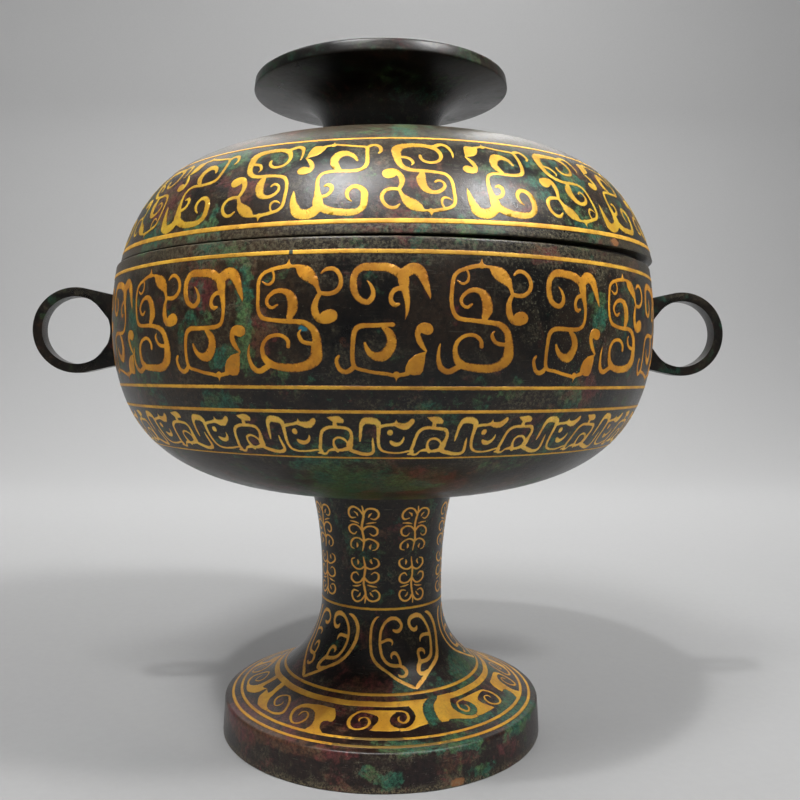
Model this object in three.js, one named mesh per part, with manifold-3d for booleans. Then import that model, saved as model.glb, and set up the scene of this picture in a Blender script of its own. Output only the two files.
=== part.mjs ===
// Bronze dou vessel: a round bowl on a hollow flared foot, two fixed ring handles and a loose
// domed lid that is lifted by its dished crown. Gold lines are let into grooves of the castings.
// Millimetres, +Z up. The foot stands on Z = 0, the vessel's axis is Z, the handles are at +X and -X.
import * as THREE from 'three';
import { mergeVertices } from 'three/addons/utils/BufferGeometryUtils.js';
import Module from 'manifold-3d';

const wasm = await Module();
wasm.setup();

// How finely round shapes are drawn, and how near to a sharp corner their points may come
const FLATS_AROUND = 40;
const RING_FLATS = 24;
const CORNER_ROOM = 1;
const GROOVE_ROOM = 0.2;
const SAME_POINT = 1e-3;

// Gap between a piece and the piece that it is seated on
const SEAT_GAP = 0.3;

// Foot: a ring with a vertical edge, then a flare that rises to the stem's waist
const FOOT_RADIUS = 54.8;
const FOOT_EDGE_HEIGHT = 10.4;
const FOOT_EDGE_TAPER = 0.6;
const FOOT_SHOULDER_ROUND = 1.3;
const FOOT_SHOULDER_RISE = 1.5;
const FOOT_WALL = 3.4;
const FLARE_LOW_PULL = 12.9;
const FLARE_LOW_LIFT = 4.3;
const FLARE_HIGH_PULL = 20.4;

// Stem
const WAIST_RADIUS = 20.9;
const WAIST_HEIGHT = 44.5;
const STEM_PULL_IN = 0.5;
const STEM_PULL_RISE = 21.5;
const STEM_TOP_RADIUS = 24.4;
const STEM_WALL = 3.2;
const STEM_CAP_THICKNESS = 4;

// Bowl, with its base on top of the stem
const BOWL_BASE_HEIGHT = 81.6;
const BOWL_BASE_MARGIN = 1.4;
const BOWL_RADIUS = 90;
const RIM_HEIGHT = 155;
const RIM_INSET = 1.5;
const BELLY_DROP = 18;
const BOWL_WALL = 3.2;
const BELLY_PULL = 39.3;
const BASE_PULL = 40;
const BASE_SLOPE = 0.08;

// Lid, in heights above its own rim
const LID_RIM_INSET = 0.1;
const LID_HEIGHT = 38.2;
const LID_WALL = 3.2;
const LID_RIM_SLOPE = 0.25;
const LID_RIM_PULL = 41.6;
const LID_TOP_PULL = 22.7;
const LID_TOP_DIP = 1;
const FLANGE_DEPTH = 6;
const FLANGE_WALL = 2.6;
const FLANGE_CLEARANCE = 0.5;
const NECK_SEAT_MARGIN = 2.5;

// How the loose lid lies in the photo: it touches the rim front left, rides up at the back right and
// sits a little to the right, and its crown was cast on a little to the left of the lid's middle
const LID_TILT = THREE.MathUtils.degToRad(1);
const LID_TILT_BEARING = THREE.MathUtils.degToRad(145);
const LID_SHIFT = 1;
const CROWN_SHIFT = -1.5;

// Dished crown on top of the lid, in heights above the lid's rim
const CROWN_NECK_RADIUS = 18.5;
const CROWN_RADIUS = 43.2;
const CROWN_LIP_HEIGHT = 60.6;
const CROWN_EDGE_HEIGHT = 4;
const CROWN_EDGE_TAPER = 0.5;
const CROWN_EDGE_WALL = 3;
const CROWN_WALL = 3;
const CROWN_NECK_PULL = 22;
const CROWN_LIP_PULL = 14.8;
const CROWN_LIP_DIP = 3;

// Ring handles, whose centres stand off the belly and a little below its widest line
const HANDLE_REACH = 14.8;
const HANDLE_DROP = 1;
const HANDLE_RADIUS = 14.6;
const HANDLE_BAND = 3.1;
const HANDLE_WIDTH = 5.6;
const HANDLE_EDGE_BEVEL = 1.1;
const HANDLE_ROOT_HEIGHT = 22.8;

// Gold lines: wire hammered into a groove of V section
const LINE_DEPTH = 0.8;
const LINE_CLEARANCE = 0.3;
const RIM_LINE_WIDTH = 1.3;
const RIM_LINE_DROP = 3.9;
const BELLY_LINE_WIDTH = 1;
const BELLY_LINE_DROP = 37.2;
const BAND_TOP_LINE_WIDTH = 1;
const BAND_TOP_LINE_DROP = 43.2;
const BAND_LOW_LINE_WIDTH = 0.7;
const BAND_LOW_LINE_DROP = 55.4;
const STEM_LINE_WIDTH = 0.9;
const FOOT_LINE_WIDTH = 1.1;
const FOOT_OUTER_LINE_INSET = 2.8;
const FOOT_OUTER_LINE_SPACING = 2.9;
const FOOT_BAND_WIDTH = 12.1;
const FOOT_INNER_LINE_SPACING = 2.8;
const LID_LINE_WIDTH = 1.4;
const LID_LINE_RISE = 3.2;
const SHOULDER_LINE_WIDTH = 1;
const SHOULDER_LINE_RISE = 27;
const NECK_LINE_WIDTH = 0.7;
const NECK_LINE_OFFSET = 29;

const point = (radius, height) => new THREE.Vector2(radius, height);
const BRONZE = { color: 0x2e2a26, roughness: 0.42, metalness: 0.75 };
const GOLD = { color: 0xd99a24, roughness: 0.34, metalness: 1 };

// Outlines are lists of points (radius, height) that run up the outside of a piece, so that the
// metal lies on the left of the way they run.

function smooth(start, startPull, endPull, end, steps) {
  return new THREE.CubicBezierCurve(start, startPull, endPull, end).getPoints(steps);
}

function arc(start, bulge, end, steps) {
  return new THREE.QuadraticBezierCurve(start, bulge, end).getPoints(steps);
}

function chain(...runs) {
  const outline = [];
  for (const p of runs.flat()) {
    if (!outline.length || outline.at(-1).distanceTo(p) > SAME_POINT) outline.push(p);
  }
  return outline;
}

function inwardNormal(outline, i) {
  const before = outline[Math.max(i - 1, 0)];
  const after = outline[Math.min(i + 1, outline.length - 1)];
  const along = after.clone().sub(before).normalize();
  return point(-along.y, along.x);
}

function offsetInward(outline, distance) {
  return outline.map((p, i) => p.clone().addScaledVector(inwardNormal(outline, i), distance));
}

function thinOut(outline, step) {
  return outline.filter((p, i) => i % step === 0 || i === outline.length - 1);
}

function distancesAlong(outline) {
  const distances = [0];
  for (let i = 1; i < outline.length; i++) {
    distances.push(distances[i - 1] + outline[i].distanceTo(outline[i - 1]));
  }
  return distances;
}

function pointAtDistance(outline, distances, distance) {
  let i = 1;
  while (i < outline.length - 1 && distances[i] < distance) i++;
  const share = (distance - distances[i - 1]) / (distances[i] - distances[i - 1]);
  return outline[i - 1].clone().lerp(outline[i], share);
}

// Distance along the outline to the first place where the radius or the height has a value
function distanceTo(outline, distances, axis, value) {
  for (let i = 1; i < outline.length; i++) {
    const from = outline[i - 1][axis];
    const to = outline[i][axis];
    if ((from - value) * (to - value) <= 0 && from !== to) {
      const share = (value - from) / (to - from);
      return distances[i - 1] + share * (distances[i] - distances[i - 1]);
    }
  }
  throw new Error(`no ${axis} of ${value} on this outline`);
}

// The three corners of a V with this width and depth, its mouth on the outline
function vSection(outline, distances, centre, width, depth) {
  const low = pointAtDistance(outline, distances, centre - width / 2);
  const high = pointAtDistance(outline, distances, centre + width / 2);
  const along = high.clone().sub(low).normalize();
  const root = low.clone().add(high).multiplyScalar(0.5).add(point(-along.y, along.x).multiplyScalar(depth));
  return [low, root, high];
}

// The groove is the wire's V grown by the clearance on both flanks
function grooveSize(width) {
  const flank = Math.hypot(width / 2, LINE_DEPTH);
  return {
    width: width + 2 * LINE_CLEARANCE * flank / LINE_DEPTH,
    depth: LINE_DEPTH + LINE_CLEARANCE * flank / (width / 2),
  };
}

// Cuts the grooves of all lines into an outline, and gives the section of each line's wire
function engrave(outline, lines) {
  const distances = distancesAlong(outline);
  const wires = {};
  let grooved = outline.map((p, i) => ({ p, at: distances[i] }));
  for (const line of lines) {
    const centre = distanceTo(outline, distances, line.axis, line.value);
    const groove = grooveSize(line.width);
    const corners = vSection(outline, distances, centre, groove.width, groove.depth);
    const margin = groove.width / 2 + GROOVE_ROOM;
    grooved = grooved.filter(({ at }) => Math.abs(at - centre) > margin);
    corners.forEach((p, i) => grooved.push({ p, at: centre + (i - 1) * groove.width / 2 }));
    wires[line.name] = vSection(outline, distances, centre, line.width, LINE_DEPTH);
  }
  grooved.sort((a, b) => a.at - b.at);
  return { outline: grooved.map(({ p }) => p), wires };
}

// A turned solid: its section closes on itself, or starts and ends on the axis
function turned(section) {
  const loop = THREE.ShapeUtils.isClockWise(section) ? [...section].reverse() : [...section];
  if (loop[0].x > 0) loop.push(loop[0].clone());
  const geometry = new THREE.LatheGeometry(loop, FLATS_AROUND);
  geometry.rotateX(Math.PI / 2);
  return geometry;
}

function toManifold(geometry) {
  const bare = geometry.index ? geometry.toNonIndexed() : geometry.clone();
  bare.deleteAttribute('normal');
  bare.deleteAttribute('uv');
  const merged = mergeVertices(bare, SAME_POINT);
  const index = merged.index.array;
  const triangles = [];
  for (let i = 0; i < index.length; i += 3) {
    const [a, b, c] = [index[i], index[i + 1], index[i + 2]];
    if (a !== b && b !== c && c !== a) triangles.push(a, b, c);
  }
  return new wasm.Manifold(new wasm.Mesh({
    numProp: 3,
    vertProperties: new Float32Array(merged.attributes.position.array),
    triVerts: new Uint32Array(triangles),
  }));
}

function toGeometry(manifold) {
  const mesh = manifold.getMesh();
  const geometry = new THREE.BufferGeometry();
  geometry.setAttribute('position', new THREE.BufferAttribute(mesh.vertProperties, 3));
  geometry.setIndex(new THREE.BufferAttribute(mesh.triVerts, 1));
  return geometry;
}

function piece(name, geometry, finish) {
  const mesh = new THREE.Mesh(geometry, new THREE.MeshStandardMaterial(finish));
  mesh.name = name;
  return mesh;
}

// Stem and foot: one hollow casting, open below and capped under the bowl

const shoulderTop = FOOT_EDGE_HEIGHT + FOOT_SHOULDER_RISE;
const flareStart = point(FOOT_RADIUS - FOOT_EDGE_TAPER - FOOT_SHOULDER_ROUND, shoulderTop);
const waist = point(WAIST_RADIUS, WAIST_HEIGHT);
const footFlare = smooth(
  flareStart,
  point(flareStart.x - FLARE_LOW_PULL, shoulderTop + FLARE_LOW_LIFT),
  point(WAIST_RADIUS, WAIST_HEIGHT - FLARE_HIGH_PULL),
  waist,
  14,
);
const stemTop = point(STEM_TOP_RADIUS, BOWL_BASE_HEIGHT - SEAT_GAP);
const stemPull = point(WAIST_RADIUS - STEM_PULL_IN, WAIST_HEIGHT + STEM_PULL_RISE);
const stemSide = arc(waist, stemPull, stemTop, 5);
const footOutside = chain(
  [point(FOOT_RADIUS, 0)],
  arc(
    point(FOOT_RADIUS - FOOT_EDGE_TAPER, FOOT_EDGE_HEIGHT),
    point(FOOT_RADIUS - FOOT_EDGE_TAPER, shoulderTop),
    flareStart,
    3,
  ),
  footFlare,
  stemSide,
);

const outerLineRadius = FOOT_RADIUS - FOOT_EDGE_TAPER - FOOT_OUTER_LINE_INSET;
const footBandRadius = outerLineRadius - FOOT_OUTER_LINE_SPACING;
const innerLineRadius = footBandRadius - FOOT_BAND_WIDTH;
const footLines = [
  { name: 'foot_gold_line_1', axis: 'x', value: outerLineRadius, width: FOOT_LINE_WIDTH },
  { name: 'foot_gold_line_2', axis: 'x', value: footBandRadius, width: FOOT_LINE_WIDTH },
  { name: 'foot_gold_line_3', axis: 'x', value: innerLineRadius, width: FOOT_LINE_WIDTH },
  {
    name: 'foot_gold_line_4', axis: 'x', value: innerLineRadius - FOOT_INNER_LINE_SPACING,
    width: FOOT_LINE_WIDTH,
  },
  { name: 'stem_gold_line', axis: 'y', value: WAIST_HEIGHT, width: STEM_LINE_WIDTH },
];
const foot = engrave(footOutside, footLines);

const footHollowRadius = FOOT_RADIUS - FOOT_WALL;
const hollowTop = stemTop.y - STEM_CAP_THICKNESS;
const flareInside = offsetInward(thinOut(footFlare, 2), FOOT_WALL)
  .filter((p) => p.x < footHollowRadius - CORNER_ROOM);
const stemInside = offsetInward(stemSide, STEM_WALL)
  .filter((p) => p.y > waist.y && p.y < hollowTop - CORNER_ROOM);
const stemFootSection = [
  ...foot.outline,
  point(0, stemTop.y),
  point(0, hollowTop),
  point(stemInside.at(-1).x, hollowTop),
  ...stemInside.reverse(),
  ...flareInside.reverse(),
  point(footHollowRadius, shoulderTop - FOOT_WALL),
  point(footHollowRadius, 0),
];

// Bowl

const belly = point(BOWL_RADIUS, RIM_HEIGHT - BELLY_DROP);
const rim = point(BOWL_RADIUS - RIM_INSET, RIM_HEIGHT);
const bowlBase = point(STEM_TOP_RADIUS + BOWL_BASE_MARGIN, BOWL_BASE_HEIGHT);
const bowlSide = chain(
  smooth(
    bowlBase,
    point(bowlBase.x + BASE_PULL, BOWL_BASE_HEIGHT + BASE_SLOPE * BASE_PULL),
    point(BOWL_RADIUS, belly.y - BELLY_PULL),
    belly,
    14,
  ),
  arc(belly, point(BOWL_RADIUS, belly.y + BELLY_DROP / 2), rim, 4),
);
const bowlLines = [
  { name: 'bowl_rim_gold_line', axis: 'y', value: RIM_HEIGHT - RIM_LINE_DROP, width: RIM_LINE_WIDTH },
  { name: 'bowl_belly_gold_line', axis: 'y', value: RIM_HEIGHT - BELLY_LINE_DROP, width: BELLY_LINE_WIDTH },
  {
    name: 'bowl_band_top_gold_line', axis: 'y', value: RIM_HEIGHT - BAND_TOP_LINE_DROP,
    width: BAND_TOP_LINE_WIDTH,
  },
  {
    name: 'bowl_band_low_gold_line', axis: 'y', value: RIM_HEIGHT - BAND_LOW_LINE_DROP,
    width: BAND_LOW_LINE_WIDTH,
  },
];
const bowl = engrave(bowlSide, bowlLines);
const mouthRadius = rim.x - BOWL_WALL;
const bowlInside = offsetInward(thinOut(bowlSide, 2), BOWL_WALL)
  .filter((p) => p.y < RIM_HEIGHT - CORNER_ROOM);
const bowlSection = [
  point(0, BOWL_BASE_HEIGHT),
  ...bowl.outline,
  point(mouthRadius, RIM_HEIGHT),
  ...bowlInside.reverse(),
  point(0, BOWL_BASE_HEIGHT + BOWL_WALL),
];

// Ring handles: a flat ring with tangent webs, ending on the bowl's wall

function ringHandle() {
  const centre = point(BOWL_RADIUS + HANDLE_REACH, belly.y - HANDLE_DROP);
  const root = point(-HANDLE_REACH, HANDLE_ROOT_HEIGHT / 2);
  const tangent = Math.atan2(root.y, root.x) - Math.acos(HANDLE_RADIUS / root.length());
  const shape = new THREE.Shape();
  shape.moveTo(centre.x + root.x, centre.y - root.y);
  shape.absarc(centre.x, centre.y, HANDLE_RADIUS, -tangent, tangent, false);
  shape.lineTo(centre.x + root.x, centre.y + root.y);
  shape.lineTo(BOWL_RADIUS - BOWL_WALL, centre.y + root.y);
  shape.lineTo(BOWL_RADIUS - BOWL_WALL, centre.y - root.y);
  const hole = new THREE.Path();
  hole.absarc(centre.x, centre.y, HANDLE_RADIUS - HANDLE_BAND, 0, 2 * Math.PI, true);
  shape.holes.push(hole);
  const solid = new THREE.ExtrudeGeometry(shape, {
    depth: HANDLE_WIDTH - 2 * HANDLE_EDGE_BEVEL,
    bevelThickness: HANDLE_EDGE_BEVEL,
    bevelSize: HANDLE_EDGE_BEVEL,
    bevelOffset: -HANDLE_EDGE_BEVEL,
    bevelSegments: 1,
    curveSegments: RING_FLATS,
  });
  solid.translate(0, 0, HANDLE_EDGE_BEVEL - HANDLE_WIDTH / 2);
  solid.rotateX(Math.PI / 2);
  const wall = chain([point(0, BOWL_BASE_HEIGHT)], offsetInward(bowlSide, -SEAT_GAP), [point(0, RIM_HEIGHT)]);
  return toGeometry(toManifold(solid).subtract(toManifold(turned(wall))));
}

// Lid: a dome with a locating flange inside the bowl's mouth, and a flat seat for the crown

const lidRimRadius = rim.x - LID_RIM_INSET;
const lidSeat = point(CROWN_NECK_RADIUS + NECK_SEAT_MARGIN, LID_HEIGHT);
const lidSide = smooth(
  point(lidRimRadius, 0),
  point(lidRimRadius - LID_RIM_SLOPE * LID_RIM_PULL, LID_RIM_PULL),
  point(lidSeat.x + LID_TOP_PULL, LID_HEIGHT - LID_TOP_DIP),
  lidSeat,
  16,
);
const lidLines = [
  { name: 'lid_rim_gold_line', axis: 'y', value: LID_LINE_RISE, width: LID_LINE_WIDTH },
  { name: 'lid_shoulder_gold_line', axis: 'y', value: SHOULDER_LINE_RISE, width: SHOULDER_LINE_WIDTH },
  {
    name: 'lid_neck_gold_line', axis: 'x', value: lidSeat.x + NECK_LINE_OFFSET,
    width: NECK_LINE_WIDTH,
  },
];
const lid = engrave(lidSide, lidLines);
const flangeRadius = mouthRadius - FLANGE_CLEARANCE - LID_SHIFT;
const flangeInside = flangeRadius - FLANGE_WALL;
const lidInside = offsetInward(thinOut(lidSide, 2), LID_WALL).filter((p) => p.x < flangeInside - CORNER_ROOM);
const lidSection = [
  point(flangeRadius, -FLANGE_DEPTH),
  point(flangeRadius, 0),
  ...lid.outline,
  point(0, LID_HEIGHT),
  point(0, LID_HEIGHT - LID_WALL),
  ...lidInside.reverse(),
  point(flangeInside, -FLANGE_DEPTH),
];

// Crown: a short neck that flares into a dish, open at the top, with a thick edge

const neckFoot = point(CROWN_NECK_RADIUS, LID_HEIGHT + SEAT_GAP);
const crownLip = point(CROWN_RADIUS, CROWN_LIP_HEIGHT);
const crownFlare = smooth(
  neckFoot,
  point(CROWN_NECK_RADIUS, neckFoot.y + CROWN_NECK_PULL),
  point(CROWN_RADIUS - CROWN_LIP_PULL, CROWN_LIP_HEIGHT - CROWN_LIP_DIP),
  crownLip,
  8,
);
const crownTop = CROWN_LIP_HEIGHT + CROWN_EDGE_HEIGHT;
const crownEdgeInside = CROWN_RADIUS - CROWN_EDGE_TAPER - CROWN_EDGE_WALL;
const crownInside = offsetInward(crownFlare, CROWN_WALL)
  .filter((p) => p.x < crownEdgeInside - CORNER_ROOM && p.y > neckFoot.y + CORNER_ROOM);
const crownSection = [
  ...crownFlare,
  point(CROWN_RADIUS - CROWN_EDGE_TAPER, crownTop),
  point(crownEdgeInside, crownTop),
  point(crownEdgeInside, CROWN_LIP_HEIGHT + CROWN_WALL / 2),
  ...crownInside.reverse(),
  point(CROWN_NECK_RADIUS - CROWN_WALL, neckFoot.y),
];

// Assembly

const vessel = new THREE.Group();
vessel.add(piece('stem_foot', turned(stemFootSection), BRONZE));
vessel.add(piece('bowl', turned(bowlSection), BRONZE));
const handle = ringHandle();
const rightHandle = piece('ring_handle_right', handle, BRONZE);
const leftHandle = piece('ring_handle_left', handle.clone(), BRONZE);
leftHandle.rotation.z = Math.PI;
vessel.add(rightHandle, leftHandle);
for (const wires of [foot.wires, bowl.wires]) {
  for (const [name, section] of Object.entries(wires)) vessel.add(piece(name, turned(section), GOLD));
}

// The lid turns about the point of the rim that it touches
const rideUp = new THREE.Vector3(Math.sin(LID_TILT_BEARING), -Math.cos(LID_TILT_BEARING), 0);
const touching = rideUp.clone().multiplyScalar(-lidRimRadius).setZ(RIM_HEIGHT + SEAT_GAP);
const lidGroup = new THREE.Group();
lidGroup.position.copy(touching).setX(touching.x + LID_SHIFT);
lidGroup.quaternion.setFromAxisAngle(new THREE.Vector3(rideUp.y, -rideUp.x, 0), LID_TILT);
const lidParts = new THREE.Group();
lidParts.position.copy(rideUp).multiplyScalar(lidRimRadius);
lidParts.add(piece('lid', turned(lidSection), BRONZE));
const crown = piece('lid_crown', turned(crownSection), BRONZE);
crown.position.x = CROWN_SHIFT;
lidParts.add(crown);
for (const [name, section] of Object.entries(lid.wires)) {
  lidParts.add(piece(name, turned(section), GOLD));
}
lidGroup.add(lidParts);

const dou = new THREE.Group();
dou.add(vessel, lidGroup);

export default dou;
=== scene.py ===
"""The looks of a bronze dou: a lidded bowl on a hollow stem and foot, inlaid with gold."""

import bisect
import math
import random

import bpy
from mathutils import Matrix, Vector, kdtree
from mathutils.geometry import delaunay_2d_cdt


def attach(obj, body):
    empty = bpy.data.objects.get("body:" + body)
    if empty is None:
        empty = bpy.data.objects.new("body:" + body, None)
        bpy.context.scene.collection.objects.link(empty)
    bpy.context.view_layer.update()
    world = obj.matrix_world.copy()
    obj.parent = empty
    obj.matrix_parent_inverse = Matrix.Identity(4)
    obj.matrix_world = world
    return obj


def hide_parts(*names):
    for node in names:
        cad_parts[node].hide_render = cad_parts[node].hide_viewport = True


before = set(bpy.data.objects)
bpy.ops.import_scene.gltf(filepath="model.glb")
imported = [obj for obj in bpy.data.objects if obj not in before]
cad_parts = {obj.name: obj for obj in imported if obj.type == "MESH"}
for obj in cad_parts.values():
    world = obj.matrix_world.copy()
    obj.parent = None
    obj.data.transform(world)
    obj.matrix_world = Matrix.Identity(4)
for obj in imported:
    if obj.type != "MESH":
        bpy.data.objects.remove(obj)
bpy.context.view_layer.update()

MM = 0.001
TURNS = 192  # steps round a casting
LINE_TURNS = 360  # steps round a gold line
SAME_SPOT = 0.005 * MM  # corners nearer than this are one

# How the gold lies in the bronze, in millimetres from the casting's outside
BED = -0.4
EDGE_LIFT = 0.02
TOP_LIFT = 0.06
EDGE_ROUND = 0.3  # how far in from its edge a sheet of gold reaches its full height
THINNEST_STROKE = 1.5  # in squares of the drawing grid


# Outlines of the castings, as points (radius, height) in millimetres

def bend(*pulls, steps):
    """Points of the smooth line from the first pull to the last."""
    n = len(pulls) - 1
    line = []
    for i in range(steps + 1):
        t = i / steps
        shares = [math.comb(n, k) * t**k * (1 - t) ** (n - k) for k in range(n + 1)]
        line.append(tuple(sum(s * p[axis] for s, p in zip(shares, pulls)) for axis in (0, 1)))
    return line


def inward(line, wall):
    """The same line, moved by the wall's thickness into the metal."""
    moved = []
    for i, (r, z) in enumerate(line):
        r0, z0 = line[max(i - 1, 0)]
        r1, z1 = line[min(i + 1, len(line) - 1)]
        length = math.hypot(r1 - r0, z1 - z0)
        moved.append((r - wall * (z1 - z0) / length, z + wall * (r1 - r0) / length))
    return moved


def softened(outline, radius, sharp=25):
    """The outline with each sharp corner eased to a small round."""
    eased = [outline[0]]
    for before, corner, after in zip(outline, outline[1:], outline[2:]):
        a, b, c = Vector(before), Vector(corner), Vector(after)
        turn = math.degrees((b - a).angle(c - b, 0))
        if turn < sharp:
            eased.append(corner)
            continue
        room = min(radius, (b - a).length * 0.45, (c - b).length * 0.45)
        start, end = b - (b - a).normalized() * room, b + (c - b).normalized() * room
        eased += bend(tuple(start), corner, tuple(end), steps=4)
    eased.append(outline[-1])
    return eased


FLARE = bend((52.9, 11.9), (40.0, 16.2), (20.9, 24.1), (20.9, 44.5), steps=48)
STEM = bend((20.9, 44.5), (20.4, 66.0), (24.4, 81.3), steps=24)
FOOT_EDGE = [(54.8, 0.0)] + bend((54.2, 10.4), (54.2, 11.9), (52.9, 11.9), steps=6)
BOWL_SIDE = (
    bend((25.8, 81.6), (65.8, 84.8), (90, 97.7), (90, 137), steps=72)
    + bend((90, 137), (90, 146), (88.5, 155), steps=12)[1:]
)
LID_SIDE = bend((88.4, 0), (78.0, 41.6), (43.7, 37.2), (21, 38.2), steps=80)
CROWN_SIDE = bend((18.5, 38.5), (18.5, 60.5), (28.4, 57.6), (43.2, 60.6), steps=40)

stem_hollow = [p for p in inward(STEM, 3.2) if 44.9 < p[1] < 76.3]
flare_hollow = [p for p in inward(FLARE, 3.4) if p[0] < 50.8]
FOOT_SECTION = (
    [(0, 77.3), (stem_hollow[-1][0], 77.3)] + stem_hollow[::-1] + flare_hollow[::-1]
    + [(51.4, 8.6), (51.4, 0.0)] + FOOT_EDGE + FLARE[1:] + STEM[1:] + [(0, 81.3)]
)
bowl_hollow = [p for p in inward(BOWL_SIDE, 3.2) if p[1] < 154.2]
BOWL_SECTION = (
    [(0, 84.8)] + bowl_hollow + [(85.3, 155.0), (88.5, 155.0)] + BOWL_SIDE[-2::-1] + [(0, 81.6)]
)
lid_hollow = [p for p in inward(LID_SIDE, 3.2) if p[0] < 80.4]
LID_SECTION = (
    [(0, 35.0)] + lid_hollow[::-1] + [(81.2, -6.0), (83.8, -6.0), (83.8, 0.0)] + LID_SIDE + [(0, 38.2)]
)
crown_hollow = [p for p in inward(CROWN_SIDE, 3.0) if p[0] < 39.0 and p[1] > 39.4]
CROWN_SECTION = (
    CROWN_SIDE + [(42.7, 64.6), (39.7, 64.6), (39.7, 62.1)] + crown_hollow[::-1]
    + [(15.5, 38.5), (18.5, 38.5)]
)

# The lid touches the rim at the front left and rides up one degree at the back right
RIDE_UP = Vector((0.5736, 0.8192, 0))
TOUCHING = -88.4 * RIDE_UP
LID_PLACE = (
    Matrix.Translation((TOUCHING + Vector((1, 0, 155.3))) * MM)
    @ Matrix.Rotation(math.radians(1), 4, Vector((0.8192, -0.5736, 0)))
    @ Matrix.Translation(-TOUCHING * MM)
)
CROWN_PLACE = LID_PLACE @ Matrix.Translation(Vector((-1.5, 0, 0)) * MM)


class Side:
    """The outside of a turned casting, where a place is a distance along the outline and a turn."""

    def __init__(self, outline, place=None):
        self.outline = outline
        self.reach = [0.0]
        for a, b in zip(outline, outline[1:]):
            self.reach.append(self.reach[-1] + math.dist(a, b))
        self.place = place or Matrix.Identity(4)

    def section(self, along, lift=0.0):
        """Radius and height of a point that stands off the outline by the lift."""
        i = min(max(bisect.bisect(self.reach, along), 1), len(self.outline) - 1)
        (r0, z0), (r1, z1) = self.outline[i - 1], self.outline[i]
        length = self.reach[i] - self.reach[i - 1]
        share = (along - self.reach[i - 1]) / length
        up, out = (z1 - z0) / length, (r1 - r0) / length
        return r0 + share * (r1 - r0) + up * lift, z0 + share * (z1 - z0) - out * lift

    def spot(self, along, turn, lift=0.0):
        """A place in the row frame. Turn 0 is the front, and it grows to the right."""
        r, z = self.section(along, lift)
        return self.place @ (Vector((r * math.sin(turn), -r * math.cos(turn), z)) * MM)

    def to(self, axis, value):
        """The distance along the outline at which the radius (0) or the height (1) is the value."""
        for i in range(1, len(self.outline)):
            a, b = self.outline[i - 1][axis], self.outline[i][axis]
            if a != b and (a - value) * (b - value) <= 0:
                return self.reach[i - 1] + (value - a) / (b - a) * (self.reach[i] - self.reach[i - 1])
        raise ValueError(value)


flare_side = Side(FLARE + STEM[1:])
bowl_side = Side(BOWL_SIDE)
lid_side = Side(LID_SIDE, LID_PLACE)


# Finishes

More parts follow.
